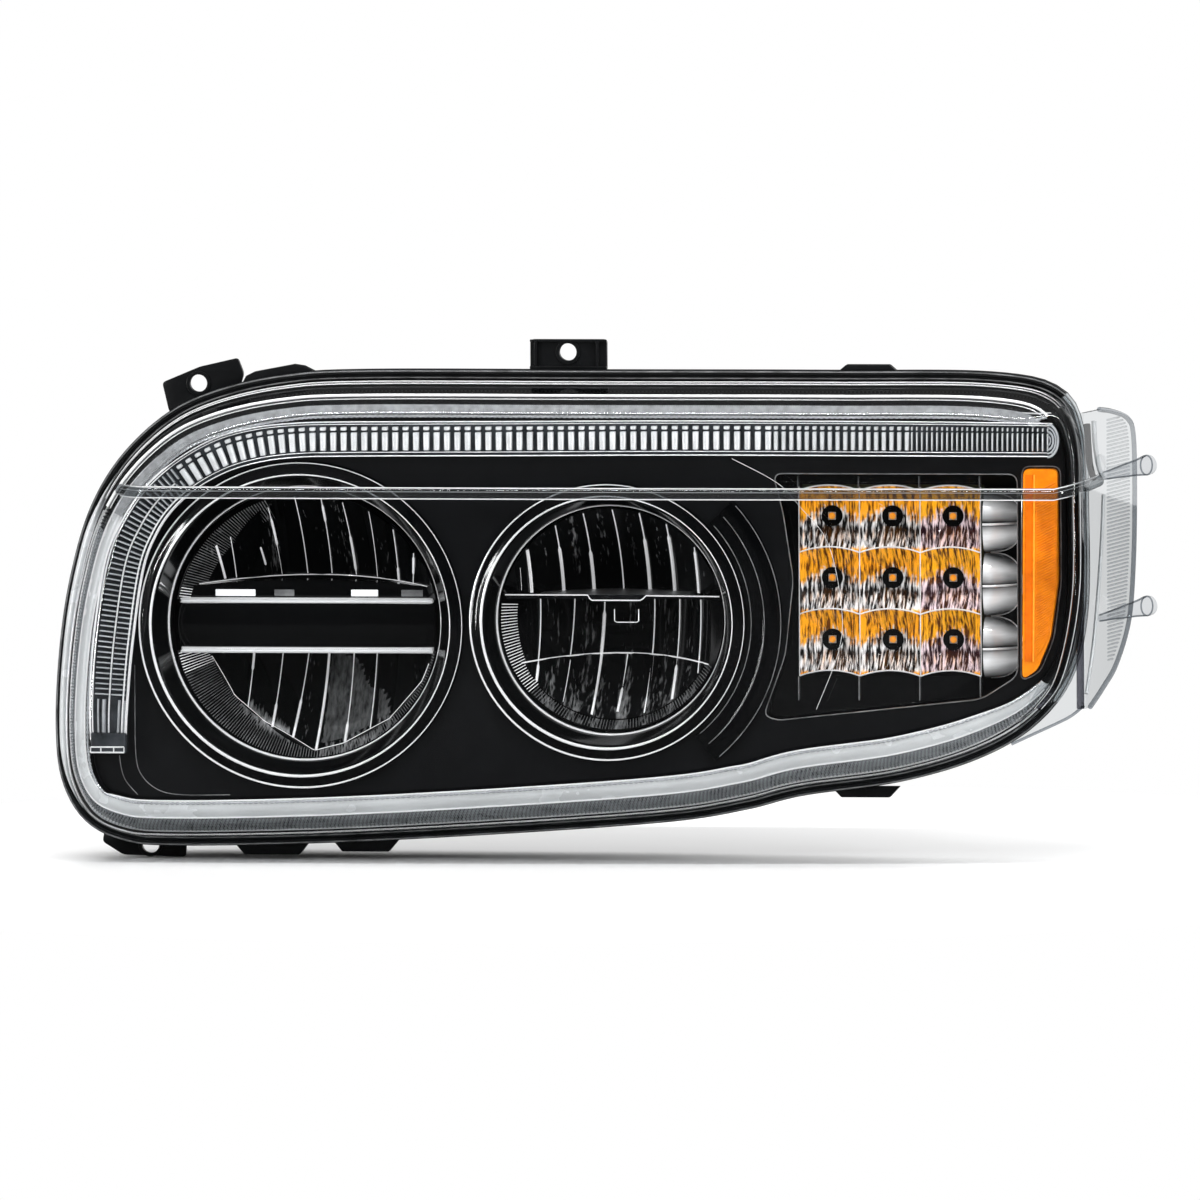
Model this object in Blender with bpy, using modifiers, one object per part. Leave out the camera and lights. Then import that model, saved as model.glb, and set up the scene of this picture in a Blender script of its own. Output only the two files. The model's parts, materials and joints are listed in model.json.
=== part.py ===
"""Truck headlight assembly: glued clear lens, black bezel, two LED bowls that tilt for aiming,
a turn signal, a side marker, a ribbed light guide and a rear housing with its service parts.

Metres. +Z up, the lens faces -Y, the outboard (wrap-around) end is +X.
The whole lamp hangs on one empty, placed so that the origin is the middle of its bounding box.
"""

from math import cos, hypot, pi, radians, sin

import bmesh
import bpy
from mathutils import Matrix, Vector

# ---------------------------------------------------------------- driving dimensions
LAMP_SHIFT = Vector((0.0002, -0.0285, 0.0005))  # from the flange-centred layout to the box centre

# Outer edge of the mounting flange, seen from the front, from the top middle round by the left.
FLANGE_EDGE = [
    (0.000, 0.1374), (-0.140, 0.1374), (-0.190, 0.1345), (-0.231, 0.1255), (-0.262, 0.1110),
    (-0.290, 0.0850), (-0.309, 0.0530), (-0.321, 0.0120), (-0.3275, -0.0300), (-0.3300, -0.0760),
    (-0.3265, -0.1090), (-0.3130, -0.1330), (-0.2900, -0.1450), (-0.2580, -0.1480), (-0.1660, -0.1460),
    (-0.0580, -0.1400), (0.0400, -0.1325), (0.0860, -0.1250), (0.1200, -0.1165), (0.1780, -0.1080),
    (0.2250, -0.0940), (0.2590, -0.0740), (0.2810, -0.0450), (0.2900, -0.0050), (0.2905, 0.0550),
    (0.2885, 0.1000), (0.2750, 0.1265), (0.2350, 0.1365), (0.1400, 0.1374),
]
POINTS_PER_SPAN = 2
TURN_STEPS = 32
ROUND_SIDES = 20

LENS_WALL = 0.003
LENS_FACE_Y = -0.0680
LENS_CROWN = 0.0050
CREASE_Z = 0.0690
UPPER_SLOPE = 0.20
BEAD_RADIUS = 0.0040

# Height up the side wing and how much of its full reach it has there.
WING_REACH = [
    (0.1155, 0.30), (0.1125, 0.55), (0.1060, 0.86), (0.0940, 0.98), (0.0580, 1.00), (0.0200, 0.97),
    (-0.0140, 0.87), (-0.0380, 0.61), (-0.0500, 0.36), (-0.0600, 0.12),
]

HOUSING_WALL = 0.0025
FENCE_Y = -0.0060
CHANNEL_Y = 0.0060
REAR_WALL_Y = 0.1080

BEZEL_Y = -0.0380
BEZEL_WALL = 0.0020
COLLAR_DEPTH = 0.0225

GUIDE_Y = (-0.0500, -0.0384)
# Middle line of the light guide, from the outboard end, over the top and down the inboard side,
# with half its width there.
GUIDE_LINE = [
    (0.2740, 0.0985, 0.0098), (0.1810, 0.0990, 0.0102), (0.0600, 0.0992, 0.0102),
    (-0.0600, 0.0985, 0.0102),
    (-0.1500, 0.0980, 0.0102), (-0.1790, 0.0972, 0.0102), (-0.2016, 0.0945, 0.0104),
    (-0.2230, 0.0885, 0.0106),
    (-0.2436, 0.0772, 0.0104), (-0.2598, 0.0634, 0.0105), (-0.2718, 0.0464, 0.0108),
    (-0.2815, 0.0230, 0.0116),
    (-0.2885, -0.0220, 0.0117), (-0.2915, -0.0587, 0.0112), (-0.2920, -0.0815, 0.0103),
]

# Bowl centres and sizes: the low beam is the larger, inboard one.
LOW = {"name": "low", "x": -0.1770, "z": -0.0150, "rim": 0.0800, "lever": 0.0760}
HIGH = {"name": "high", "x": 0.0065, "z": -0.0105, "rim": 0.0675, "lever": 0.0640}
LOW_COLLAR = {"name": "low", "x": -0.1770, "z": -0.0130, "rim": 0.0815, "outer": 0.0962}
HIGH_COLLAR = {"name": "high", "x": 0.0065, "z": -0.0107, "rim": 0.0680, "outer": 0.0818}
BOWL_RIM_Y = -0.0160
BOWL_DEPTH = 0.0630
BOWL_NECK = 0.0240
BOWL_WALL = 0.0022
PIVOT_Y = -0.0040
PIVOT_RADIUS = 0.0040
PIN_LENGTH = 0.0120
BALL_Y = 0.0240
BALL_RADIUS = 0.0042
ROD_RADIUS = 0.0028
ROD_END_Y = 0.1290
KNOB_Y = (0.1212, 0.1330)

COVER_HOLE = {"low": 0.0540, "high": 0.0430}
COVER_SCREWS = 3

CELL_PITCH = (0.0362, 0.0368)
CELL_CENTRE = (0.1742, 0.0142)
CELL_Y = (-0.0240, -0.0060)

GAP = 0.0003

MATERIALS = {
    "black_plastic": ((0.018, 0.019, 0.021, 1), 0.55, 0.0),
    "gloss_black": ((0.006, 0.007, 0.008, 1), 0.16, 0.0),
    "clear_lens": ((0.90, 0.93, 0.94, 1), 0.04, 0.0),
    "silver_trim": ((0.72, 0.74, 0.74, 1), 0.28, 0.8),
    "bright_chrome": ((0.78, 0.80, 0.82, 1), 0.06, 1.0),
    "dark_chrome": ((0.12, 0.125, 0.13, 1), 0.08, 1.0),
    "light_guide": ((0.82, 0.86, 0.88, 1), 0.08, 0.0),
    "amber": ((0.95, 0.32, 0.02, 1), 0.12, 0.0),
    "aluminium": ((0.62, 0.63, 0.64, 1), 0.38, 1.0),
    "rubber": ((0.012, 0.012, 0.012, 1), 0.85, 0.0),
    "steel": ((0.55, 0.56, 0.57, 1), 0.30, 1.0),
    "board": ((0.02, 0.06, 0.035, 1), 0.45, 0.0),
    "brass": ((0.72, 0.53, 0.22, 1), 0.30, 1.0),
    "nylon": ((0.70, 0.71, 0.68, 1), 0.50, 0.0),
}


# ---------------------------------------------------------------- scene and materials
def clear_scene():
    for obj in list(bpy.data.objects):
        bpy.data.objects.remove(obj, do_unlink=True)


def make_collection(name):
    made = bpy.data.collections.new(name)
    bpy.context.scene.collection.children.link(made)
    return made


def make_material(name):
    colour, roughness, metallic = MATERIALS[name]
    material = bpy.data.materials.new(name)
    material.use_nodes = True
    shader = material.node_tree.nodes["Principled BSDF"]
    shader.inputs["Base Color"].default_value = colour
    shader.inputs["Roughness"].default_value = roughness
    shader.inputs["Metallic"].default_value = metallic
    return material


clear_scene()
PARTS = make_collection("truck_headlight")
CUTTERS = make_collection("cutters")
LAMP = bpy.data.objects.new("lamp_frame", None)
LAMP.location = LAMP_SHIFT
PARTS.objects.link(LAMP)
MATERIAL = {name: make_material(name) for name in MATERIALS}


def new_object(name, data, material=None):
    """An object in the parts collection, hung on the lamp's empty."""
    obj = bpy.data.objects.new(name, data)
    PARTS.objects.link(obj)
    obj.parent = LAMP
    if material:
        obj.data.materials.append(MATERIAL[material])
    return obj


def as_cutter(obj):
    PARTS.objects.unlink(obj)
    CUTTERS.objects.link(obj)
    obj.hide_render = True
    obj.display_type = "WIRE"
    return obj


def hang(empty_name, place, *names):
    """Parents finished pieces to an empty that sits on their joint's axis."""
    empty = bpy.data.objects.new(empty_name, None)
    PARTS.objects.link(empty)
    empty.parent = LAMP
    empty.location = place
    for name in names:
        piece = bpy.data.objects[name]
        piece.parent = empty
        piece.matrix_parent_inverse = Matrix.Translation(-Vector(place))


def combine(obj, other, operation):
    if other.name in PARTS.objects:
        as_cutter(other)
    modifier = obj.modifiers.new(f"{operation.lower()}_{other.name}", "BOOLEAN")
    modifier.operation = operation
    modifier.solver = "EXACT"
    modifier.object = other
    return obj


def cut(obj, *others):
    for other in others:
        combine(obj, other, "DIFFERENCE")
    return obj


def join(obj, *others):
    for other in others:
        combine(obj, other, "UNION")
    return obj


# ---------------------------------------------------------------- basic shapes
def from_bmesh(name, mesh_builder, material):
    mesh = bpy.data.meshes.new(name)
    mesh_builder.to_mesh(mesh)
    mesh_builder.free()
    return new_object(name, mesh, material)


def box(name, size, centre, material=None, bevel=0.0, turn_y=0.0):
    """A box with its size applied to the mesh, optionally rounded and turned about Y."""
    builder = bmesh.new()
    bmesh.ops.create_cube(builder, size=1.0)
    bmesh.ops.scale(builder, vec=size, verts=builder.verts)
    obj = from_bmesh(name, builder, material)
    obj.location = centre
    obj.rotation_euler = (0, turn_y, 0)
    if bevel:
        modifier = obj.modifiers.new("rounded", "BEVEL")
        modifier.width = bevel
        modifier.segments = 2
    return obj


def span_box(name, xs, ys, zs, material=None, bevel=0.0):
    """A box given by its lowest and highest x, y and z."""
    spans = (xs, ys, zs)
    size = [high - low for low, high in spans]
    centre = [(high + low) / 2 for low, high in spans]
    return box(name, size, centre, material, bevel)


def rod_between(name, start, end, radius, material=None, sides=ROUND_SIDES, end_radius=None):
    """A cylinder or cone from one point to another."""
    start, end = Vector(start), Vector(end)
    builder = bmesh.new()
    bmesh.ops.create_cone(
        builder, cap_ends=True, segments=sides, radius1=radius,
        radius2=radius if end_radius is None else end_radius, depth=(end - start).length,
    )
    obj = from_bmesh(name, builder, material)
    obj.location = (start + end) / 2
    obj.rotation_euler = (end - start).to_track_quat("Z", "Y").to_euler()
    return obj


def along_y(name, x, z, ys, radius, material=None, sides=ROUND_SIDES):
    return rod_between(name, (x, ys[0], z), (x, ys[1], z), radius, material, sides)


def turned(name, profile, x, z, material=None, closed=True, steps=TURN_STEPS):
    """A profile of (radius, y) turned about the line through (x, z) along Y.
    It runs down its outer side from front to back."""
    mesh = bpy.data.meshes.new(name)
    count = len(profile)
    edges = [(i, (i + 1) % count) for i in range(count if closed else count - 1)]
    mesh.from_pydata([(radius, 0, -y) for radius, y in profile], edges, [])
    obj = new_object(name, mesh, material)
    obj.location = (x, 0, z)
    obj.rotation_euler = (pi / 2, 0, 0)
    modifier = obj.modifiers.new("turn", "SCREW")
    modifier.steps = modifier.render_steps = steps
    modifier.use_merge_vertices = True
    modifier.merge_threshold = 0.00002
    return obj


def to_mesh(obj):
    """The curve's evaluated shape as a mesh with welded caps, in the curve's place."""
    bpy.context.view_layer.update()
    evaluated = obj.evaluated_get(bpy.context.evaluated_depsgraph_get())
    mesh = bpy.data.meshes.new_from_object(evaluated)
    builder = bmesh.new()
    builder.from_mesh(mesh)
    bmesh.ops.remove_doubles(builder, verts=builder.verts, dist=0.00001)
    builder.to_mesh(mesh)
    builder.free()
    materials = list(obj.data.materials)
    name, location, rotation = obj.name, obj.location.copy(), obj.rotation_euler.copy()
    bpy.data.objects.remove(obj, do_unlink=True)
    made = new_object(name, mesh)
    mesh.materials.clear()
    for material in materials:
        mesh.materials.append(material)
    made.location, made.rotation_euler = location, rotation
    return made


def plate(name, loops, ys, material=None):
    """A flat plate facing -Y, from closed loops of (x, z); loops inside the first are holes."""
    curve = bpy.data.curves.new(name, "CURVE")
    curve.dimensions = "2D"
    curve.fill_mode = "BOTH"
    curve.extrude = (ys[1] - ys[0]) / 2
    for loop in loops:
        spline = curve.splines.new("POLY")
        spline.points.add(len(loop) - 1)
        for point, (x, z) in zip(spline.points, loop):
            point.co = (x, z, 0, 1)
        spline.use_cyclic_u = True
    obj = new_object(name, curve, material)
    obj.location = (0, (ys[0] + ys[1]) / 2, 0)
    obj.rotation_euler = (pi / 2, 0, 0)
    return to_mesh(obj)


def circle(x, z, radius, count=TURN_STEPS):
    return [(x + radius * cos(2 * pi * i / count), z + radius * sin(2 * pi * i / count))
        for i in range(count)]


def rounded(corners, radius, steps=4):
    """A closed loop of (x, z) with each corner replaced by an arc-like curve."""
    loop, count = [], len(corners)
    for i, corner in enumerate(corners):
        here = Vector(corner)
        before, after = Vector(corners[i - 1]) - here, Vector(corners[(i + 1) % count]) - here
        reach = min(radius, before.length / 2, after.length / 2)
        start, end = here + before.normalized() * reach, here + after.normalized() * reach
        for step in range(steps + 1):
            t = step / steps
            loop.append(tuple(start * (1 - t) ** 2 + here * 2 * t * (1 - t) + end * t**2))
    return loop


# ---------------------------------------------------------------- the lamp's outline
def smooth_loop(points, per_span):
    """Closed Catmull-Rom curve through the points, so it has most vertices where they are closest."""
    loop, number = [], len(points)
    for i in range(number):
        a, b, c, d = (Vector(points[(i + k) % number]) for k in (-1, 0, 1, 2))
        for step in range(per_span):
            t = step / per_span
            bend = (a * 2 - b * 5 + c * 4 - d) * t**2 + (b * 3 - a - c * 3 + d) * t**3
            loop.append(tuple((b * 2 + (c - a) * t + bend) / 2))
    return loop


def inset(left, right, top, bottom):
    """The flange edge moved inwards, by an amount that turns smoothly with the way it faces."""
    moved, count = [], len(EDGE)
    for i, (x, z) in enumerate(EDGE):
        (xa, za), (xb, zb) = EDGE[i - 1], EDGE[(i + 1) % count]
        length = hypot(xb - xa, zb - za)
        nx, nz = (zb - za) / length, -(xb - xa) / length
        amount = nx * nx * (left if nx < 0 else right) + nz * nz * (top if nz > 0 else bottom)
        moved.append((x - nx * amount, z - nz * amount))
    return moved


def squeezed_ring(y, left, right, top, bottom):
    """A ring at y: the flange edge squeezed to a smaller box, so that tight corners can't fold over."""
    xs, zs = [x for x, _ in EDGE], [z for _, z in EDGE]
    scale_x = 1 - (left + right) / (max(xs) - min(xs))
    scale_z = 1 - (top + bottom) / (max(zs) - min(zs))
    return [
        (min(xs) + left + (x - min(xs)) * scale_x, y, min(zs) + bottom + (z - min(zs)) * scale_z)
        for x, z in EDGE
    ]


EDGE = smooth_loop(FLANGE_EDGE, POINTS_PER_SPAN)


def loft(name, rings, material, cap_last=False):
    """An open surface through rings of 3-D points that have the same count."""
    mesh = bpy.data.meshes.new(name)
    count = len(rings[0])
    vertices = [point for ring in rings for point in ring]
    faces = []
    for k in range(len(rings) - 1):
        for i in range(count):
            j = (i + 1) % count
            faces.append((k * count + i, k * count + j, (k + 1) * count + j, (k + 1) * count + i))
    if cap_last:
        start = (len(rings) - 1) * count
        faces.append(tuple(start + i for i in range(count)))
    mesh.from_pydata(vertices, [], faces)
    mesh.update()
    return new_object(name, mesh, material)


def solidify(obj, thickness, offset):
    modifier = obj.modifiers.new("wall", "SOLIDIFY")
    modifier.thickness = thickness
    modifier.offset = offset
    modifier.use_even_offset = True
    return obj


def ring_at(y, left, right, top, bottom):
    return [(x, y, z) for x, z in inset(left, right, top, bottom)]


# ---------------------------------------------------------------- housing and lens
def lens_ring(y, left, right, top, bottom):
    """A ring of the lens, leaning back above the crease in proportion to how far forward it is."""
    ring = []
    for x, z in inset(left, right, top, bottom):
        lean = max(0.0, z - CREASE_Z) * UPPER_SLOPE * max(0.0, y / LENS_FACE_Y)
        ring.append((x, y + lean, z))
    return ring


def face_ring(edge, share):
    """A ring of the crowned front face: share is how far it has shrunk towards the middle."""
    middle_x, middle_z = 0.0, -0.004
    ring = []
    for x, y, z in edge:
        px, pz = middle_x + (x - middle_x) * (1 - share), middle_z + (z - middle_z) * (1 - share)
        lean = max(0.0, pz - CREASE_Z) * UPPER_SLOPE
        ring.append((px, LENS_FACE_Y - LENS_CROWN * sin(share * pi / 2) + lean, pz))
    return ring


def make_wing():
    """The clear side wing: a sheet from the lens's outboard corner back past the flange."""
    columns = 5
    mesh = bpy.data.meshes.new("lens_wing")
    vertices, faces = [], []
    for z, reach in WING_REACH:
        for column in range(columns + 1):
            t = column / columns * reach
            vertices.append((0.2925 + 0.0235 * t - 0.004 * t * t, -0.0560 + 0.1160 * t, z))
    for row in range(len(WING_REACH) - 1):
        for column in range(columns):
            a = row * (columns + 1) + column
            faces.append((a, a + columns + 1, a + columns + 2, a + 1))
    mesh.from_pydata(vertices, [], faces)
    return solidify(new_object("lens_wing", mesh), LENS_WALL, 0)


def make_outer_lens():
    edge = lens_ring(LENS_FACE_Y, 0.0300, 0.0020, 0.0230, 0.0190)
    rings = [
        lens_ring(0.0024, 0.0055, 0.0055, 0.0055, 0.0055),
        lens_ring(-0.0080, 0.0060, 0.0050, 0.0062, 0.0062),
        lens_ring(-0.0360, 0.0115, 0.0008, 0.0105, 0.0085),
        lens_ring(-0.0560, 0.0205, -0.0030, 0.0150, 0.0115),
        edge,
        *[face_ring(edge, share) for share in (0.15, 0.60)],
    ]
    lens = solidify(loft("outer_lens", rings, "clear_lens", cap_last=True), LENS_WALL, -1)
    bead_line = [(-0.268 + 0.545 * i / 10, LENS_FACE_Y - 0.004 * sin(pi * i / 10), CREASE_Z)
        for i in range(11)]
    bead_line += [(0.2885, -0.0560, 0.0705), (0.2990, -0.0250, 0.0735)]
    join(lens, make_wing(), tube("lens_bead", bead_line, BEAD_RADIUS))
    for name, z in (("upper_lug", 0.0800), ("lower_lug", -0.0040)):
        join(lens, rod_between(name, (0.2985, -0.0150, z - 0.005), (0.3245, 0.0240, z), 0.0022, sides=14,
                               end_radius=0.0062))
    return lens


def tube(name, points, radius, material=None):
    curve = bpy.data.curves.new(name, "CURVE")
    curve.dimensions = "3D"
    curve.bevel_depth = radius
    curve.bevel_resolution = 2
    curve.use_fill_caps = True
    spline = curve.splines.new("POLY")
    spline.points.add(len(points) - 1)
    for point, place in zip(spline.points, points):
        point.co = (*place, 1)
    return to_mesh(new_object(name, curve, material))


def tab(name, corners, hole, y, thickness, material=None):
    """A mounting tab with a clear bolt hole."""
    return plate(name, [corners, circle(hole[0], hole[1], 0.0052, 16)], (y, y + thickness), material)


TOP_LEFT_TAB = [(-0.2660, 0.1290), (-0.2440, 0.1375), (-0.2215, 0.1432), (-0.2170, 0.1300),
    (-0.2240, 0.1130),
                (-0.2600, 0.0960)]
TOP_TAB = [(-0.0440, 0.1550), (0.0020, 0.1550), (0.0020, 0.1290), (-0.0440, 0.1290)]
LOW_TAB = [(-0.3045, -0.1470), (-0.2920, -0.1548), (-0.2545, -0.1560), (-0.2530, -0.1290),
    (-0.3000, -0.1210)]
# Snap lugs round the flange: lowest x, highest x, outer z, inner z.
LUGS = [
    (-0.2205, -0.1750, 0.1418, 0.1300), (0.1400, 0.1780, 0.1406, 0.1300),
    (-0.2230, -0.1780, -0.1532, -0.1400),
    (-0.1640, -0.1240, -0.1512, -0.1380), (0.1360, 0.1770, -0.1175, -0.1050),
]


def lug(number, low_x, high_x, outer_z, inner_z):
    slope = 0.006
    corners = [(low_x, inner_z), (low_x + slope, outer_z), (high_x - slope, outer_z), (high_x, inner_z)]
    return plate(f"lug_{number}", [corners], (-0.0030, 0.0052))


def make_housing():
    rings = [
        ring_at(FENCE_Y, 0, 0, 0, 0),
        ring_at(CHANNEL_Y, 0, 0, 0, 0),
        ring_at(CHANNEL_Y, 0.0115, 0.0115, 0.0115, 0.0115),
        ring_at(0.0120, 0.0130, 0.0140, 0.0130, 0.0130),
        ring_at(0.0600, 0.0200, 0.0340, 0.0180, 0.0180),
        squeezed_ring(0.1010, 0.0320, 0.0600, 0.0300, 0.0290),
        squeezed_ring(REAR_WALL_Y - 0.0012, 0.0370, 0.0660, 0.0350, 0.0340),
    ]
    housing = solidify(loft("rear_housing", rings, "black_plastic"), HOUSING_WALL, 1)
    rear_edge = [(x, z) for x, _, z in squeezed_ring(REAR_WALL_Y, 0.0362, 0.0652, 0.0342, 0.0332)]
    join(housing, plate("rear_wall", [rear_edge], (REAR_WALL_Y - HOUSING_WALL, REAR_WALL_Y)))
    inside = plate("channel_inside", [inset(*[0.0014] * 4)], (-0.0200, CHANNEL_Y - 0.0012))
    outside = [
        tab("top_left_tab", TOP_LEFT_TAB, (-0.2436, 0.1284), 0.0035, 0.0045),
        tab("top_tab", TOP_TAB, (-0.0213, 0.1475), 0.0035, 0.0045),
        tab("low_tab", LOW_TAB, (-0.2754, -0.1485), 0.0115, 0.0045),
        *[lug(i, *sizes) for i, sizes in enumerate(LUGS)],
    ]
    for piece in outside:
        join(housing, cut(piece, inside))
    wall = (REAR_WALL_Y - 0.010, REAR_WALL_Y + 0.010)
    for bowl in (LOW, HIGH):
        name, x, z = bowl["name"], bowl["x"], bowl["z"]
        cut(housing, along_y(f"{name}_service_hole", x, z, wall, COVER_HOLE[name], sides=TURN_STEPS))
        cut(housing, along_y(f"{name}_adjuster_hole", x, z - bowl["lever"], wall, 0.0074))
        for i, (sx, sz) in enumerate(screw_places(bowl)):
            cut(housing, along_y(f"{name}_screw_hole_{i}", sx, sz, wall, 0.0021, sides=10))
    cut(housing, span_box("connector_hole", (0.0930, 0.1230), wall, (0.0515, 0.0695)))
    for i, (x, z) in enumerate(VENTS):
        cut(housing, along_y(f"vent_hole_{i}", x, z, wall, 0.0052, sides=14))
    for i, (x, z) in enumerate(driver_screw_places()):
        cut(housing, along_y(f"driver_screw_hole_{i}", x, z, wall, 0.0021, sides=10))
    return housing


def make_seal():
    outer, inner = inset(0.0032, 0.0032, 0.0032, 0.0032), inset(0.0112, 0.0108, 0.0112, 0.0112)
    bottom = CHANNEL_Y - HOUSING_WALL - 1.5 * GAP
    seal = plate("lens_seal", [outer, inner], (-0.0015, bottom), "rubber")
    groove = plate("lens_foot_groove", [inset(*[0.0048] * 4), inset(*[0.0092] * 4)],
        (-0.0100, bottom - 0.0003))
    return cut(seal, groove)


# ---------------------------------------------------------------- what shows through the lens
def make_perimeter_trim():
    rings = [
        ring_at(0.0030, 0.0132, 0.0132, 0.0140, 0.0130),
        ring_at(-0.0200, 0.0135, 0.0078, 0.0170, 0.0128),
        ring_at(-0.0360, 0.0170, 0.0062, 0.0212, 0.0200),
        ring_at(-0.0425, 0.0205, 0.0060, 0.0232, 0.0250),
        ring_at(-0.0425, 0.0218, 0.0072, 0.0246, 0.0266),
        ring_at(-0.0330, 0.0222, 0.0076, 0.0250, 0.0270),
    ]
    return solidify(loft("perimeter_trim", rings, "silver_trim"), 0.0015, 0)


def collar(bowl, name):
    """The turned lip round a bowl: it stands proud of the bezel and runs back as a cone."""
    outer, rim = bowl["outer"], bowl["rim"]
    back = BEZEL_Y - 0.0065 + COLLAR_DEPTH
    profile = [
        (outer - 0.0030, BEZEL_Y - 0.0065), (outer, BEZEL_Y - 0.0030),
        (outer + 0.0010, BEZEL_Y + BEZEL_WALL),
        (outer - 0.0070, BEZEL_Y + BEZEL_WALL), (rim + 0.0038, back), (rim + 0.0015, back),
        (outer - 0.0085, BEZEL_Y - 0.0040), (outer - 0.0070, BEZEL_Y - 0.0065),
    ]
    return turned(name, profile, bowl["x"], bowl["z"])


SIGNAL_OPENING = [(0.1060, 0.0780), (0.2520, 0.0780), (0.2520, -0.0420), (0.2300, -0.0560),
    (0.1080, -0.0690),
                  (0.1000, -0.0660), (0.1130, -0.0300), (0.1180, 0.0150), (0.1120, 0.0550)]


def make_bezel():
    rings = [
        ring_at(0.0064, 0.0262, 0.0160, 0.0308, 0.0292),
        ring_at(BEZEL_Y + 0.0030, 0.0262, 0.0092, 0.0308, 0.0292),
        ring_at(BEZEL_Y, 0.0290, 0.0102, 0.0335, 0.0318),
    ]
    bezel = solidify(loft("bezel", rings, "gloss_black", cap_last=True), BEZEL_WALL, -1)
    through = (BEZEL_Y - 0.010, BEZEL_Y + 0.010)
    for ring in (LOW_COLLAR, HIGH_COLLAR):
        name = ring["name"]
        cut(bezel, along_y(f"{name}_bezel_hole", ring["x"], ring["z"], through, ring["outer"] - 0.0050,
                           sides=TURN_STEPS))
        join(bezel, collar(ring, f"{name}_collar"))
    cut(bezel, plate("signal_hole", [rounded(SIGNAL_OPENING, 0.006, 3)], through))
    cut(bezel, plate("marker_hole", [marker_outline(0.0007)], through))
    return bezel


def guide_outline(inset_by=0.0):
    """Both sides of the light guide's middle line, as one closed loop with rounded ends."""
    line = [Vector((x, z)) for x, z, _ in GUIDE_LINE]
    left, right = [], []
    for i, point in enumerate(line):
        along = (line[min(i + 1, len(line) - 1)] - line[max(i - 1, 0)]).normalized()
        across = Vector((along.y, -along.x)) * (GUIDE_LINE[i][2] - inset_by)
        left.append(tuple(point + across))
        right.append(tuple(point - across))
    return rounded(left + right[::-1], 0.009, 2)


def make_light_guide():
    return plate("light_guide", [guide_outline()], GUIDE_Y, "light_guide")


def make_guide_board():
    """The small LED board that feeds the light guide from its lower, inboard end."""
    x, z, _ = GUIDE_LINE[-1]
    y = (GUIDE_Y[0] + GUIDE_Y[1]) / 2
    board = box("guide_led_board", (0.0200, GUIDE_Y[1] - GUIDE_Y[0], 0.0016), (x, y, z - 0.0030), "board")
    return join(board, box("guide_led", (0.0050, 0.0050, 0.0020), (x, y, z - 0.0018)))


def cell_centres():
    for row in (1, 0, -1):
        for column in (-1, 0, 1):
            yield CELL_CENTRE[0] + column * CELL_PITCH[0], CELL_CENTRE[1] + row * CELL_PITCH[1]


def make_signal_reflector():
    """A block of nine square cups, each with a window for its LED."""
    half_x, half_z = 1.5 * CELL_PITCH[0] + 0.0010, 1.5 * CELL_PITCH[1] + 0.0010
    x, z = CELL_CENTRE
    block = span_box("signal_reflector", (x - half_x, x + half_x), CELL_Y, (z - half_z, z + half_z),
        "bright_chrome")
    for i, (cx, cz) in enumerate(cell_centres()):
        cup = rod_between(f"cup_{i}", (cx, CELL_Y[0] - 0.0010, cz), (cx, CELL_Y[1] - 0.0025, cz),
                          0.0242, sides=4, end_radius=0.0110)
        cup.rotation_euler = (-pi / 2, 0, 0)
        cup.data.transform(square_turn())
        cut(block, cup, along_y(f"window_{i}", cx, cz, (CELL_Y[1] - 0.006, CELL_Y[1] + 0.004), 0.0052,
            sides=12))
    return block


def square_turn():
    """Turns a four-sided cone so that its sides lie along X and Z."""
    return Matrix.Rotation(radians(45), 4, "Z")


def make_signal_board():
    half_x, half_z = 1.5 * CELL_PITCH[0], 1.5 * CELL_PITCH[1]
    x, z = CELL_CENTRE
    front = CELL_Y[1] + 0.0005
    board = span_box("signal_board", (x - half_x, x + half_x), (front, front + 0.0016),
        (z - half_z, z + half_z), "board")
    for i, (cx, cz) in enumerate(cell_centres()):
        join(board, span_box(f"signal_led_{i}", (cx - 0.0024, cx + 0.0024),
            (front - 0.0022, front + 0.0005),
                             (cz - 0.0024, cz + 0.0024)))
    for side_x in (-1, 1):
        for side_z in (-1, 1):
            join(board, along_y(f"board_post_{side_x}_{side_z}", x + side_x * (half_x - 0.0030),
                                z + side_z * (half_z - 0.0070), (front + 0.0010, 0.0067), 0.0026,
                                sides=12))
    return board


def make_signal_lens():
    """The clear inner lens over the cups, with a flat border that fills the bezel's opening."""
    corners = [
        (x + (0.0010 if x < 0.17 else -0.0225), z - 0.0010 if z > 0 else z + 0.0010)
        for x, z in SIGNAL_OPENING
    ]
    return plate("signal_inner_lens", [rounded(corners, 0.006, 3)], (BEZEL_Y - 0.0015, BEZEL_Y + 0.0015),
        "clear_lens")


def make_side_reflector():
    """Three half-round chromed scallops beside the cups, facing the outboard side."""
    block = span_box("side_reflector", (0.2316, 0.2540), (-0.0330, 0.0067), (-0.0400, 0.0690),
        "bright_chrome")
    cut(block, span_box("side_reflector_pocket", (0.2341, 0.2515), (-0.0125, 0.0200), (-0.0375, 0.0665)))
    for i in (-1, 0, 1):
        builder = bmesh.new()
        bmesh.ops.create_uvsphere(builder, u_segments=18, v_segments=10, radius=0.0180)
        dish = from_bmesh(f"scallop_{i + 1}", builder, None)
        dish.location = (0.2290, -0.0360, CELL_CENTRE[1] + i * CELL_PITCH[1])
        dish.scale = (1.0, 1.15, 1.0)
        cut(block, dish)
    return block


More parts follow.
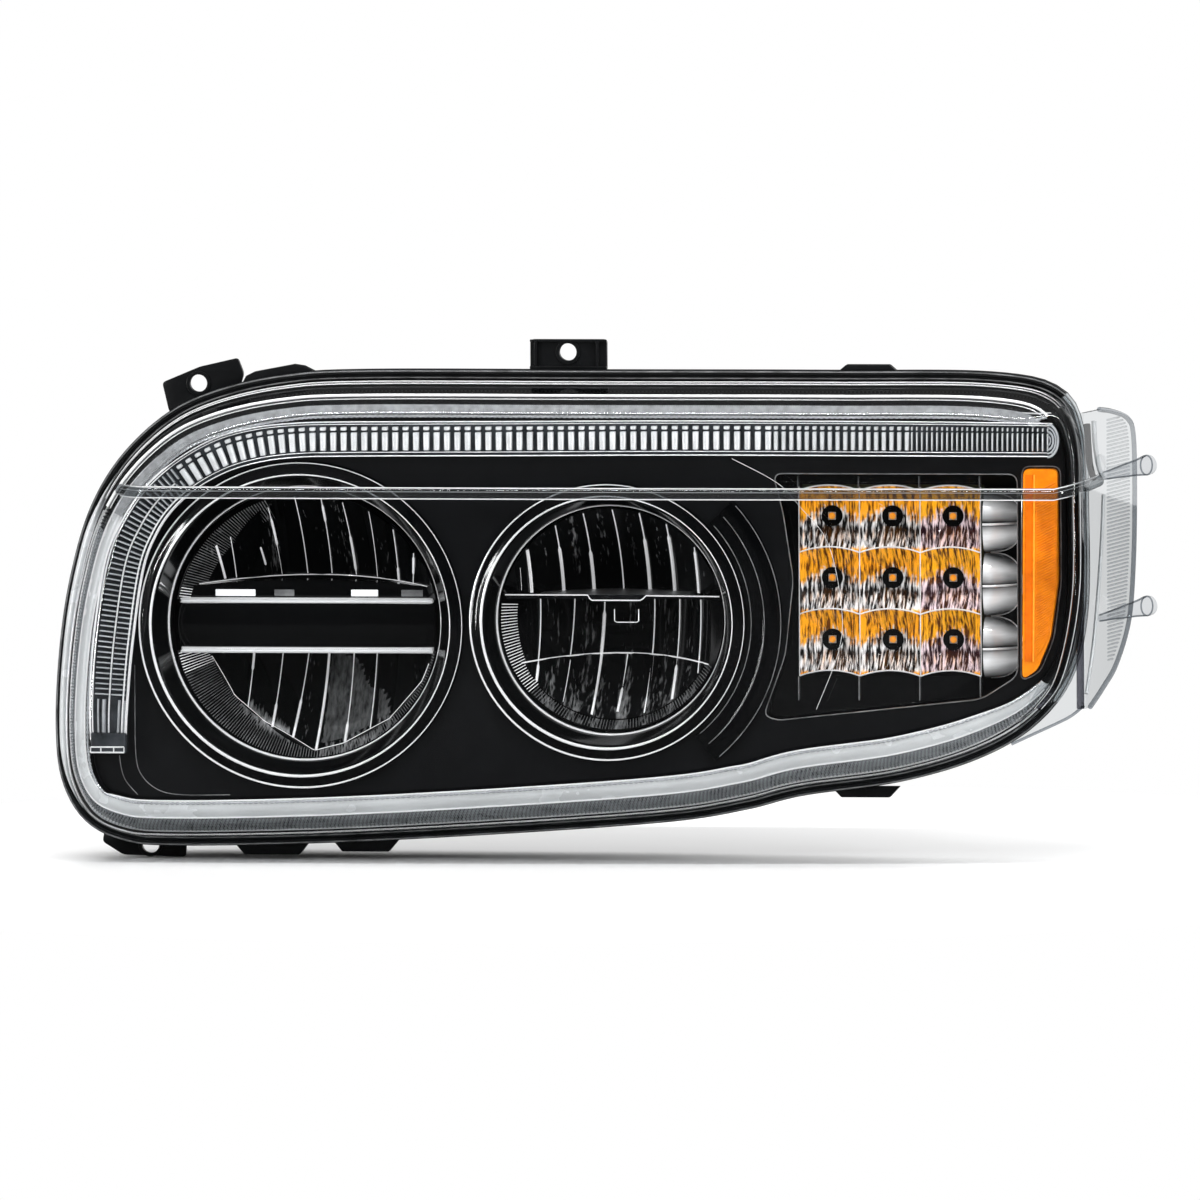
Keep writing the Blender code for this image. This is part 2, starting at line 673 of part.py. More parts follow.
def marker_outline(grow):
    """Outline of the amber side marker, tall and narrow with a swept lower end."""
    corners = [(0.2560, 0.0815), (0.2765, 0.0815), (0.2768, 0.0150), (0.2722, -0.0190), (0.2640, -0.0385),
               (0.2550, -0.0440)]
    middle_x, middle_z = 0.2600, 0.0180
    wider = [
        (x + (grow if x > middle_x else -grow), z + (grow if z > middle_z else -grow)) for x, z in corners
    ]
    return rounded(wider, 0.005, 3)


def make_side_marker():
    marker = plate("side_marker_lens", [marker_outline(0)], (-0.0440, -0.0340), "amber")
    return join(marker, plate("marker_flange", [marker_outline(0.0016)], (-0.0354, -0.0330)))


def make_marker_board():
    board = span_box("side_marker_board", (0.2590, 0.2700), (-0.0170, -0.0154), (-0.0200, 0.0500),
        "board")
    for i in range(3):
        z = -0.0050 + i * 0.0200
        join(board, span_box(f"marker_led_{i}", (0.2630, 0.2660), (-0.0190, -0.0165),
            (z - 0.0015, z + 0.0015)))
    for z in (-0.0160, 0.0450):
        join(board, along_y(f"marker_post_{z}", 0.2645, z, (-0.0160, 0.0067), 0.0024, sides=12))
    return board


# ---------------------------------------------------------------- inner frame and pivots
def make_inner_frame():
    """The fixed plate inside the housing that carries the pivots and the signal parts."""
    front, back = 0.0070, 0.0100
    outer = inset(*[0.0190] * 4)
    holes = [circle(b["x"], b["z"], b["rim"] + 0.0055) for b in (LOW, HIGH)]
    frame = plate("inner_frame", [outer, *holes, rounded([(0.125, 0.060), (0.215, 0.060), (0.215, -0.035),
                                                          (0.125, -0.035)], 0.006, 3)], (front, back),
                  "black_plastic")
    for bowl in (LOW, HIGH):
        cut(frame, span_box(f"{bowl['name']}_lever_notch", (bowl["x"] - 0.012, bowl["x"] + 0.012),
            (0.0, 0.020),
                            (bowl["z"] - bowl["rim"] - 0.0120, bowl["z"] - bowl["rim"] + 0.0100)))
    return frame


def make_pivot_socket(bowl, side):
    """A block on the inner frame with a hole for one of the bowl's pivot pins."""
    inner = bowl["rim"] + 0.0065
    name = f"{bowl['name']}_pivot_{'outboard' if side > 0 else 'inboard'}"
    xs = sorted((bowl["x"] + side * inner, bowl["x"] + side * (inner + 0.0080)))
    block = span_box(name, xs, (PIVOT_Y - 0.0080, 0.0067), (bowl["z"] - 0.0080, bowl["z"] + 0.0080),
        "nylon", 0.001)
    hole = rod_between(f"{name}_hole", (xs[0] - 0.002, PIVOT_Y, bowl["z"]),
        (xs[1] + 0.002, PIVOT_Y, bowl["z"]),
                       PIVOT_RADIUS + 0.0004)
    return cut(block, hole)


# ---------------------------------------------------------------- bowls
def bowl_curve(rim, wall, steps=7):
    """Points (radius, y) of a parabola from the rim back to the neck."""
    points = []
    for i in range(steps + 1):
        radius = rim + (BOWL_NECK - rim) * i / steps
        points.append((radius + wall,
            BOWL_RIM_Y + BOWL_DEPTH * (1 - (radius / rim) ** 2) + wall * i / steps))
    return points


def make_reflector(bowl, name, low_z, high_z, material):
    """The part of a bowl between two heights above its centre."""
    inner = bowl_curve(bowl["rim"], 0.0)
    outer = bowl_curve(bowl["rim"], BOWL_WALL)
    shell = turned(name, outer + inner[::-1], bowl["x"], bowl["z"], material)
    reach = bowl["rim"] + 0.020
    for end, (low, high) in (("under", (-reach, low_z)), ("over", (high_z, reach))):
        if high - low > 0.0005:
            cut(shell, span_box(f"{name}_{end}", (bowl["x"] - reach, bowl["x"] + reach), (-0.05, 0.09),
                                (bowl["z"] + low, bowl["z"] + high)))
    return shell


def make_carrier(bowl):
    """The ring that holds the reflectors, with its two pivot pins and the lever for the adjuster."""
    name, x, z, rim = bowl["name"], bowl["x"], bowl["z"], bowl["rim"]
    inner = rim + BOWL_WALL + GAP
    outer = inner + 0.0026
    profile = [(outer, BOWL_RIM_Y), (outer, 0.0040), (inner, 0.0040), (inner, BOWL_RIM_Y)]
    ring = turned(f"{name}_carrier", profile, x, z, "black_plastic")
    for side in (-1, 1):
        start, end = x + side * (inner + 0.0010), x + side * (inner + PIN_LENGTH)
        join(ring, rod_between(f"{name}_pin_{side + 1}", (start, PIVOT_Y, z), (end, PIVOT_Y, z),
            PIVOT_RADIUS, sides=16))
    join(ring, span_box(f"{name}_lever", (x - 0.0080, x + 0.0080), (-0.0020, 0.0150),
                        (z - outer - 0.0015, z - inner - 0.0005)))
    return ring


def make_ball_socket(bowl):
    x, z = bowl["x"], bowl["z"] - bowl["lever"]
    name = f"{bowl['name']}_ball_socket"
    block = span_box(name, (x - 0.0080, x + 0.0080), (0.0153, 0.0300), (z - 0.0085, z + 0.0085), "nylon",
        0.0012)
    half_x, half_z = BALL_RADIUS + 0.0006, BALL_RADIUS + 0.0022
    slot = span_box(f"{name}_slot", (x - half_x, x + half_x), (BALL_Y - 0.0062, 0.0400),
        (z - half_z, z + half_z))
    return cut(block, slot)


def make_low_beam():
    x, z = LOW["x"], LOW["z"]
    half_bar = 0.0150
    make_reflector(LOW, "low_upper_reflector", half_bar + GAP, LOW["rim"] + 0.020, "dark_chrome")
    make_reflector(LOW, "low_lower_reflector", -LOW["rim"] - 0.020, -half_bar - GAP, "dark_chrome")
    make_carrier(LOW)
    make_ball_socket(LOW)
    span_box("low_centre_bar", (x - 0.0765, x + 0.0765), (-0.0130, -0.0060), (z - 0.0138, z + 0.0138),
             "gloss_black", 0.0015)
    for side, name in ((1, "low_bar_strip_upper"), (-1, "low_bar_strip_lower")):
        at = z + side * 0.01455
        span_box(name, (x - 0.0760, x + 0.0760), (-0.0150, -0.0065), (at - 0.00045, at + 0.00045),
            "bright_chrome")
    sink = span_box("low_heat_sink", (x - 0.0550, x + 0.0550), (-0.0052, 0.0520),
        (z - 0.0105, z + 0.0105), "aluminium")
    join(sink, span_box("low_sink_plate", (x - 0.0450, x + 0.0450), (0.0515, 0.0560),
        (z - 0.0380, z + 0.0380)))
    for i in range(7):
        fin = x + (i - 3) * 0.0140
        join(sink, span_box(f"low_fin_{i}", (fin - 0.0010, fin + 0.0010), (0.0550, 0.0850),
            (z - 0.0375, z + 0.0375)))
    for side, name in ((1, "low_led_board_upper"), (-1, "low_led_board_lower")):
        make_led_board(name, x, z + side * 0.0117, side, 0.0520, 0.0100)
    hang("low_tilt_axis", (x, PIVOT_Y, z), "low_upper_reflector", "low_lower_reflector", "low_carrier",
         "low_ball_socket", "low_centre_bar", "low_bar_strip_upper", "low_bar_strip_lower",
         "low_heat_sink",
         "low_led_board_upper", "low_led_board_lower")


def make_led_board(name, x, z, side, half_width, y):
    """A strip board with LEDs in a row on the side that faces the reflector."""
    board = box(name, (2 * half_width, 0.0200, 0.0016), (x, y, z), "board")
    for i in range(5):
        at = x + (i - 2) * 0.0180
        join(board, box(f"{name}_led_{i}", (0.0060, 0.0050, 0.0012), (at, y, z + side * 0.0011)))
    return board


def make_high_beam():
    x, z = HIGH["x"], HIGH["z"]
    shelf = 0.0128
    make_reflector(HIGH, "high_upper_reflector", shelf + 0.0023, HIGH["rim"] + 0.020, "dark_chrome")
    make_reflector(HIGH, "high_lower_reflector", -HIGH["rim"] - 0.020, shelf - 0.0023, "dark_chrome")
    make_carrier(HIGH)
    make_ball_socket(HIGH)
    plate_shelf = span_box("high_heat_sink", (x - 0.0450, x + 0.0450), (-0.0100, 0.0520),
                           (z + shelf - 0.0012, z + shelf + 0.0012), "aluminium")
    join(plate_shelf, span_box("high_sink_plate", (x - 0.0360, x + 0.0360), (0.0515, 0.0560),
        (z - 0.0300, z + 0.0320)))
    for i in range(6):
        fin = x + (i - 2.5) * 0.0130
        join(plate_shelf, span_box(f"high_fin_{i}", (fin - 0.0010, fin + 0.0010), (0.0550, 0.0820),
                                   (z - 0.0295, z + 0.0315)))
    board = box("high_led_board", (0.0300, 0.0200, 0.0016), (x, 0.0100, z + shelf - 0.0023), "board")
    for i in range(2):
        join(board, box(f"high_led_{i}", (0.0060, 0.0050, 0.0012),
            (x + (i - 0.5) * 0.0120, 0.0100, z + shelf - 0.0035)))
    hang("high_tilt_axis", (x, PIVOT_Y, z), "high_upper_reflector", "high_lower_reflector",
        "high_carrier",
         "high_ball_socket", "high_heat_sink", "high_led_board")


# ---------------------------------------------------------------- aim adjusters
def make_adjuster(bowl):
    name, x, z = bowl["name"], bowl["x"], bowl["z"] - bowl["lever"]
    wall = REAR_WALL_Y
    guide = [
        (0.0068, wall - 0.0100), (0.0068, wall + GAP), (0.0140, wall + GAP), (0.0140, wall + 0.0040),
        (0.0105, wall + 0.0045), (0.0105, wall + 0.0125), (ROD_RADIUS + 0.0006, wall + 0.0125),
        (ROD_RADIUS + 0.0006, wall - 0.0100),
    ]
    turned(f"{name}_adjuster_guide", guide, x, z, "nylon", steps=16)
    knob = knurled_knob(f"{name}_adjuster_knob", x, z)
    cut(knob, along_y(f"{name}_knob_bore", x, z, (KNOB_Y[0] - 0.002, KNOB_Y[1] + 0.010),
        ROD_RADIUS + 0.0006))
    rod = along_y(f"{name}_adjuster_rod", x, z, (BALL_Y, ROD_END_Y), ROD_RADIUS, "steel", sides=16)
    builder = bmesh.new()
    bmesh.ops.create_uvsphere(builder, u_segments=14, v_segments=9, radius=BALL_RADIUS)
    ball = from_bmesh(f"{name}_ball", builder, None)
    ball.location = (x, BALL_Y, z)
    join(rod, ball)
    hang(f"{name}_adjuster_axis", (x, KNOB_Y[0], z), knob.name, rod.name)


def knurled_knob(name, x, z):
    """A toothed wheel with a hexagon behind it, turned by hand or with a spanner."""
    teeth, outer, root = 14, 0.0128, 0.0110
    loop = []
    for i in range(teeth):
        for share, radius in ((0.0, root), (0.3, outer), (0.6, outer), (0.9, root)):
            angle = 2 * pi * (i + share) / teeth
            loop.append((x + radius * cos(angle), z + radius * sin(angle)))
    wheel = plate(name, [loop], (KNOB_Y[0], KNOB_Y[0] + 0.0060), "black_plastic")
    return join(wheel, along_y(f"{name}_hex", x, z, (KNOB_Y[0] + 0.0050, KNOB_Y[1]), 0.0066, sides=6))


# ---------------------------------------------------------------- service parts on the back
VENTS = [(-0.2560, 0.0420), (0.1950, 0.0560)]
DRIVER = {"x": 0.1500, "z": -0.0120, "half_x": 0.0400, "half_z": 0.0330}
EAR_OUTER = 0.0055
EAR_INNER = 0.0065
EAR_HALF = 0.0060
EAR_THICKNESS = 0.0030
SCREW_HOLE = 0.0020


def screw_places(bowl):
    """Cover screws, evenly spaced just outside the service hole."""
    radius = COVER_HOLE[bowl["name"]] + 0.0078
    for i in range(COVER_SCREWS):
        angle = radians(90 + 360 * i / COVER_SCREWS)
        yield bowl["x"] + radius * cos(angle), bowl["z"] + radius * sin(angle)


def driver_screw_places():
    for side_x in (-1, 1):
        yield DRIVER["x"] + side_x * (DRIVER["half_x"] + 0.0050), DRIVER["z"] + side_x * 0.0200


def make_screw(name, x, z, seat_y):
    """A pan-head screw: the head stands on seat_y and the shank runs forward through the wall."""
    profile = [
        (0.0, seat_y - 0.0110), (0.0015, seat_y - 0.0105), (0.0015, seat_y + 0.0002),
        (0.0037, seat_y + 0.0002),
        (0.0037, seat_y + 0.0014), (0.0024, seat_y + 0.0026), (0.0, seat_y + 0.0026),
    ]
    screw = turned(name, profile, x, z, "steel", closed=False, steps=10)
    slot = span_box(f"{name}_slot", (x - 0.0060, x + 0.0060), (seat_y + 0.0017, seat_y + 0.0040),
        (z - 0.0004, z + 0.0004))
    return cut(screw, slot)


def make_rear_cover(bowl):
    name, x, z, hole = bowl["name"], bowl["x"], bowl["z"], COVER_HOLE[bowl["name"]]
    wall = REAR_WALL_Y
    gasket = [(hole + 0.0040, wall + GAP), (hole + 0.0040, wall + 0.0022), (hole + 0.0010, wall + 0.0022),
              (hole + 0.0010, wall + GAP)]
    turned(f"{name}_cover_gasket", gasket, x, z, "rubber", steps=24)
    seat = wall + 0.0025
    profile = [
        (hole - 0.0012, wall - 0.0060), (hole - 0.0012, seat), (hole + 0.0050, seat),
        (hole + 0.0050, seat + 0.0028),
        (hole - 0.0060, seat + 0.0040), (hole - 0.0110, seat + 0.0110), (0.0, seat + 0.0125),
        (0.0, seat + 0.0100),
        (hole - 0.0130, seat + 0.0085), (hole - 0.0035, wall - 0.0060),
    ]
    cover = turned(f"{name}_rear_cover", profile, x, z, "black_plastic", steps=24)
    join(cover, span_box(f"{name}_cover_grip", (x - hole + 0.0160, x + hole - 0.0160),
        (seat + 0.0105, seat + 0.0170),
                         (z - 0.0035, z + 0.0035)))
    for i, (sx, sz) in enumerate(screw_places(bowl)):
        join(cover, along_y(f"{name}_cover_ear_{i}", sx, sz, (seat, seat + 0.0026), 0.0062, sides=16))
        cut(cover, along_y(f"{name}_cover_screw_hole_{i}", sx, sz, (seat - 0.005, seat + 0.008), 0.0020,
            sides=10))
        make_screw(f"{name}_cover_screw_{i + 1}", sx, sz, seat + 0.0028)


def make_driver():
    """The LED driver: a finned aluminium box screwed to the rear wall."""
    x, z, half_x, half_z = DRIVER["x"], DRIVER["z"], DRIVER["half_x"], DRIVER["half_z"]
    base = REAR_WALL_Y + GAP
    case = span_box("driver_module", (x - half_x, x + half_x), (base, base + 0.0120),
        (z - half_z, z + half_z), "aluminium")
    for i in range(6):
        at = z + (i - 2.5) * 0.0110
        join(case, span_box(f"driver_fin_{i}", (x - half_x + 0.003, x + half_x - 0.003),
            (base + 0.0110, base + 0.0190),
                            (at - 0.0012, at + 0.0012)))
    for i, (sx, sz) in enumerate(driver_screw_places()):
        outwards = 1 if sx > x else -1
        ear_xs = sorted((sx + outwards * EAR_OUTER, sx - outwards * EAR_INNER))
        ear_zs = (sz - EAR_HALF, sz + EAR_HALF)
        join(case, span_box(f"driver_ear_{i}", ear_xs, (base, base + EAR_THICKNESS), ear_zs))
        cut(case, along_y(f"driver_ear_hole_{i}", sx, sz, (base - 0.004, base + 0.008), SCREW_HOLE,
            sides=10))
        make_screw(f"driver_screw_{i + 1}", sx, sz, base + EAR_THICKNESS + 0.0002)


def make_connector():
    """The socket that the vehicle's plug goes into, and its block of pins."""
    wall = REAR_WALL_Y
    shroud = span_box("connector_socket", (0.0880, 0.1280), (wall + GAP, wall + 0.0200),
        (0.0485, 0.0725), "black_plastic",
                      0.0015)
    cut(shroud, span_box("connector_cavity", (0.0905, 0.1255), (wall + 0.0030, wall + 0.0300),
        (0.0510, 0.0700)))
    join(shroud, span_box("connector_latch", (0.1030, 0.1130), (wall + 0.0100, wall + 0.0180),
        (0.0715, 0.0755)))
    cut(shroud, span_box("pin_window", (0.0940, 0.1220), (wall - 0.0050, wall + 0.0060),
        (0.0540, 0.0670)))
    pins = span_box("connector_pins", (0.0945, 0.1215), (wall - 0.0040, wall + 0.0026), (0.0545, 0.0665),
        "brass")
    for i in range(6):
        x, z = 0.1000 + 0.0080 * (i % 3), 0.0575 + 0.0060 * (i // 3)
        join(pins, span_box(f"pin_{i}", (x - 0.0008, x + 0.0008), (wall + 0.0020, wall + 0.0140),
            (z - 0.0008, z + 0.0008)))


def make_vents():
    for i, (x, z) in enumerate(VENTS):
        wall = REAR_WALL_Y
        profile = [
            (0.0, wall - 0.0060), (0.0048, wall - 0.0060), (0.0048, wall + GAP), (0.0090, wall + GAP),
            (0.0090, wall + 0.0060), (0.0070, wall + 0.0080), (0.0, wall + 0.0080),
        ]
        turned(f"breather_vent_{i + 1}", profile, x, z, "rubber", closed=False, steps=20)


def main():
    make_housing()
    make_seal()
    make_outer_lens()
    make_perimeter_trim()
    make_bezel()
    make_light_guide()
    make_guide_board()
    make_signal_reflector()
    make_signal_board()
    make_signal_lens()
    make_side_reflector()
    make_side_marker()
    make_marker_board()
    make_inner_frame()
    for bowl in (LOW, HIGH):
        for side in (-1, 1):
            make_pivot_socket(bowl, side)
        make_adjuster(bowl)
        make_rear_cover(bowl)
    make_low_beam()
    make_high_beam()
    make_driver()
    make_connector()
    make_vents()


main()
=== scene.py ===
"""Studio scene of the truck headlight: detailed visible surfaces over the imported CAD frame.

Metres. Pieces are built in the lamp's layout frame (flange centred) and placed by LAMP_SHIFT.
"""

import json
from math import atan2, cos, hypot, pi, radians, sin, sqrt

import bmesh
import bpy
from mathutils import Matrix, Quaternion, Vector

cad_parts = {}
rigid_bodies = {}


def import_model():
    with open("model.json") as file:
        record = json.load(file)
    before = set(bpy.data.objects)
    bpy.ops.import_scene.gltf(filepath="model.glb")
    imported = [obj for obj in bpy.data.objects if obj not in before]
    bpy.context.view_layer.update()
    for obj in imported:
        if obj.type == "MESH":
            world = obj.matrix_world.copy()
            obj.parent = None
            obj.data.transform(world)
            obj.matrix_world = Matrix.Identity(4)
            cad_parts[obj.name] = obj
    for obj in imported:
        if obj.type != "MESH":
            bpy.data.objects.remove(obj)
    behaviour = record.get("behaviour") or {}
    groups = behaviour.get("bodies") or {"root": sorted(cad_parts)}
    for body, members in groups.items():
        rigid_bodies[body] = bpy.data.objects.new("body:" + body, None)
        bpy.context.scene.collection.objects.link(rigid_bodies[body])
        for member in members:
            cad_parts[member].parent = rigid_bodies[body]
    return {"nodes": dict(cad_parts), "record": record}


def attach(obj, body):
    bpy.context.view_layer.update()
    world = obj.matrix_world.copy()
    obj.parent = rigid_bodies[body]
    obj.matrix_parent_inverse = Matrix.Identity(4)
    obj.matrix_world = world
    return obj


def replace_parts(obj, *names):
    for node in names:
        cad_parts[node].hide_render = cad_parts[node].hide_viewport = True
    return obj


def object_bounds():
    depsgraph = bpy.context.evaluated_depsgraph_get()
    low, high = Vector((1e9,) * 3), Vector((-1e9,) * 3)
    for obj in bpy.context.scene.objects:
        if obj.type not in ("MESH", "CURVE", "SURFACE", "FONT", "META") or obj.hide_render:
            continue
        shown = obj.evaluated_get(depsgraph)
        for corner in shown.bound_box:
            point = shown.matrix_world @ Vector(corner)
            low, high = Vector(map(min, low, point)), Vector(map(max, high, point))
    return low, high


for leftover in list(bpy.data.objects):
    bpy.data.objects.remove(leftover, do_unlink=True)
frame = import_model()
CAD_BOX = [list(corner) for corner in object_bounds()]
NODES = frame["nodes"]
LAMP_SHIFT = Vector((0.0002, -0.0285, 0.0005))


# ---------------------------------------------------------------- layout numbers shared with the CAD
FLANGE_EDGE = [
    (0.0, 0.1374), (-0.14, 0.1374), (-0.19, 0.1345), (-0.231, 0.1255), (-0.262, 0.111),
    (-0.29, 0.085), (-0.309, 0.053), (-0.321, 0.012), (-0.3275, -0.03), (-0.33, -0.076),
    (-0.3265, -0.109), (-0.313, -0.133), (-0.29, -0.145), (-0.258, -0.148), (-0.166, -0.146),
    (-0.058, -0.14), (0.04, -0.1325), (0.086, -0.125), (0.12, -0.1165), (0.178, -0.108),
    (0.225, -0.094), (0.259, -0.074), (0.281, -0.045), (0.29, -0.005), (0.2905, 0.055),
    (0.2885, 0.1), (0.275, 0.1265), (0.235, 0.1365), (0.14, 0.1374),
]
GUIDE_LINE = [  # x, z and half width
    (0.274, 0.0985, 0.0098), (0.181, 0.099, 0.0102), (0.06, 0.0992, 0.0102), (-0.06, 0.0985, 0.0102),
    (-0.15, 0.098, 0.0102), (-0.179, 0.0972, 0.0102), (-0.2016, 0.0945, 0.0104), (-0.223, 0.0885, 0.0106),
    (-0.2436, 0.0772, 0.0104), (-0.2598, 0.0634, 0.0105), (-0.2718, 0.0464, 0.0108), (-0.2815, 0.023, 0.0116),
    (-0.2885, -0.022, 0.0117), (-0.2915, -0.0587, 0.0112), (-0.292, -0.0815, 0.0103),
]
WING_REACH = [  # height and how far round the side the wing goes there
    (0.1155, 0.3), (0.1125, 0.55), (0.106, 0.86), (0.094, 0.98), (0.058, 1.0), (0.02, 0.97),
    (-0.014, 0.87), (-0.038, 0.61), (-0.05, 0.36), (-0.06, 0.12),
]
SIGNAL_OPENING = [
    (0.106, 0.078), (0.252, 0.078), (0.252, -0.042), (0.23, -0.056), (0.108, -0.069),
    (0.1, -0.066), (0.113, -0.03), (0.118, 0.015), (0.112, 0.055),
]
MARKER = [
    (0.256, 0.0815), (0.2765, 0.0815), (0.2768, 0.015), (0.2722, -0.019), (0.264, -0.0385),
    (0.255, -0.044),
]
LOW = {"name": "low", "x": -0.177, "z": -0.015, "rim": 0.08, "cover": 0.054, "lever": 0.076}
HIGH = {"name": "high", "x": 0.0065, "z": -0.0105, "rim": 0.0675, "cover": 0.043, "lever": 0.064}
LOW_COLLAR = {"x": -0.177, "z": -0.013, "radii": (0.097, 0.0895, 0.0812)}
HIGH_COLLAR = {"x": 0.0068, "z": -0.0107, "radii": (0.0822, 0.0748, 0.0678)}
CREASE_Z = 0.068
LENS_FACE_Y = -0.068
BEZEL_Y = -0.038
CELL_CENTRE = (0.1742, 0.0142)
CELL_PITCH = (0.0362, 0.0368)
REAR_WALL_Y = 0.108


# ---------------------------------------------------------------- materials
COAT_ROUGHNESS = 0.04
GLOSS_TINT = (0.95, 0.96, 0.97)
HAZE_COLOUR = (0.8, 0.82, 0.84)
MIRROR_SHADOW = (0.004, 0.0045, 0.005)
WARM_SHADOW = (0.1, 0.03, 0.004)
# Stretch of the painted reflection streaks in the signal cups.
REFLECTION_STREAK_LONG = (850, 60, 120)
MAT, SLOT = {}, {}


def feed(tree, target, inputs):
    """Sets a node's inputs: a node or socket is linked, a colour gets its alpha, other values are copied."""
    for key, value in inputs.items():
        socket = target.inputs[key]
        if isinstance(value, bpy.types.Node):
            value = next(output for output in value.outputs if output.enabled)
        if isinstance(value, bpy.types.NodeSocket):
            tree.links.new(value, socket)
        else:
            socket.default_value = (*value, 1) if socket.type == "RGBA" else value


def node(tree, kind, inputs=None, **settings):
    """A new shader node with its settings and inputs."""
    made = tree.nodes.new("ShaderNode" + kind)
    for key, value in settings.items():
        setattr(made, key, value)
    feed(tree, made, inputs or {})
    return made


def new_material(name):
    material = bpy.data.materials.new(name)
    material.use_nodes = True
    tree = material.node_tree
    return material, tree, tree.nodes["Principled BSDF"]


def surface(name, colour, rough, metal=0.0, grain=0.0, grain_size=0.0008, vary=0.0, vary_size=0.02, coat=0.0,
            rough_vary=0.0, specular=0.5, emit=0.0):
    """A Principled material with fine grain in its bump and slow variation in its colour and gloss."""
    material, tree, shader = new_material(name)
    feed(tree, shader, {"Base Color": colour, "Roughness": rough, "Metallic": metal, "Coat Weight": coat,
                        "Coat Roughness": COAT_ROUGHNESS, "Specular IOR Level": specular})
    if emit:
        feed(tree, shader, {"Emission Color": colour, "Emission Strength": emit})
    place = node(tree, "TexCoord").outputs["Object"]
    if grain:
        noise = node(tree, "TexNoise", {"Vector": place, "Scale": 1 / grain_size, "Detail": 3})
        bump = node(tree, "Bump", {"Strength": grain, "Distance": grain_size * 0.25, "Height": noise})
        feed(tree, shader, {"Normal": bump})
    if vary:
        slow = node(tree, "TexNoise", {"Vector": place, "Scale": 1 / vary_size, "Detail": 4})
        share = node(tree, "MapRange", {"Value": slow, "From Min": 0.3, "From Max": 0.7})
        darker = [c * (1 - vary) for c in colour]
        lighter = [min(1, c * (1 + vary)) for c in colour]
        feed(tree, shader, {"Base Color": node(tree, "Mix", {"Factor": share, "A": darker, "B": lighter},
                                               data_type="RGBA")})
    if rough_vary:
        smear = node(tree, "TexNoise", {"Vector": place, "Scale": 60, "Detail": 2})
        feed(tree, shader, {"Roughness": node(tree, "MapRange", {
            "Value": smear, "To Min": max(0.0, rough - rough_vary), "To Max": rough + rough_vary})})
    return material


def clear(name, tint, rough=0.015, ior=1.49, haze=0.0):
    """Moulded clear plastic: light passes straight through, and the outside mirrors by its Fresnel share."""
    material, tree, shader = new_material(name)
    tree.nodes.remove(shader)
    through = node(tree, "BsdfTransparent", {"Color": tint})
    gloss = node(tree, "BsdfGlossy", {"Roughness": rough, "Color": GLOSS_TINT})
    inside = node(tree, "NewGeometry").outputs["Backfacing"]
    outside = node(tree, "Math", {0: 1.0, 1: inside}, operation="SUBTRACT")
    fresnel = node(tree, "Fresnel", {"IOR": ior})
    share = node(tree, "Math", {0: fresnel, 1: outside}, operation="MULTIPLY")
    last = node(tree, "MixShader", {"Fac": share, 1: through, 2: gloss})
    if haze:
        body = node(tree, "BsdfPrincipled", {"Base Color": HAZE_COLOUR, "Roughness": 0.08})
        last = node(tree, "MixShader", {"Fac": haze, 1: last, 2: body})
    feed(tree, tree.nodes["Material Output"], {"Surface": last})
    return material


def mirror_look(name, cool, reflection_streak, gain, metal, rough=0.1, warm=None, dark=MIRROR_SHADOW, glow=0.0):
    """Moulded chrome with painted reflections: stretched noise streaks over a painted-light vertex attribute,
    and a second colour where the warmth asks for it.
    """
    material, tree, shader = new_material(name)
    feed(tree, shader, {"Roughness": rough, "Metallic": metal})
    place = node(tree, "TexCoord").outputs["Object"]
    stretch = node(tree, "VectorMath", {0: place, 1: reflection_streak}, operation="MULTIPLY")
    noise = node(tree, "TexNoise", {"Vector": stretch, "Scale": 1.0, "Detail": 3})
    centred = node(tree, "Math", {0: noise, 1: gain, 2: -0.5 * gain}, operation="MULTIPLY_ADD")
    painted_light = node(tree, "Attribute", attribute_name="painted_light").outputs["Fac"]
    total = node(tree, "Math", {0: centred, 1: painted_light}, operation="ADD", use_clamp=True)
    last = node(tree, "Mix", {"Factor": total, "A": dark, "B": cool}, data_type="RGBA")
    if warm:
        hot = node(tree, "Mix", {"Factor": total, "A": WARM_SHADOW, "B": warm}, data_type="RGBA")
        warmth = node(tree, "Attribute", attribute_name="warmth").outputs["Fac"]
        last = node(tree, "Mix", {"Factor": warmth, "A": last, "B": hot}, data_type="RGBA")
    feed(tree, shader, {"Base Color": last})
    # Emission in the same colour: a painted glow that brightens the painted highlights.
    if glow:
        feed(tree, shader, {"Emission Color": last, "Emission Strength": glow})
    return material


def define(slot, make, name, *look, **finish):
    """Makes one of the scene's materials and notes the record's material slot that it stands for."""
    MAT[name] = make(name, *look, **finish)
    SLOT[name] = slot


def define_blacks():
    define("black_plastic", surface, "satin_black", (0.005, 0.0054, 0.006), 0.3, grain=0.25,
           grain_size=0.0009, vary=0.2, rough_vary=0.06, specular=0.3)
    define("black_plastic", surface, "tub_black", (0.01, 0.0105, 0.0115), 0.44, grain=0.5,
           grain_size=0.0007, vary=0.25, rough_vary=0.08, specular=0.35)
    define("gloss_black", surface, "panel_black", (0.003, 0.0034, 0.0042), 0.42, grain=0.12,
           grain_size=0.0006, vary=0.15, rough_vary=0.05, specular=0.25)
    define("gloss_black", surface, "gloss_black", (0.0016, 0.0018, 0.0021), 0.08, rough_vary=0.02,
           specular=0.4)
    define("rubber", surface, "rubber", (0.014, 0.014, 0.0145), 0.72, grain=0.6, grain_size=0.0005,
           vary=0.2)


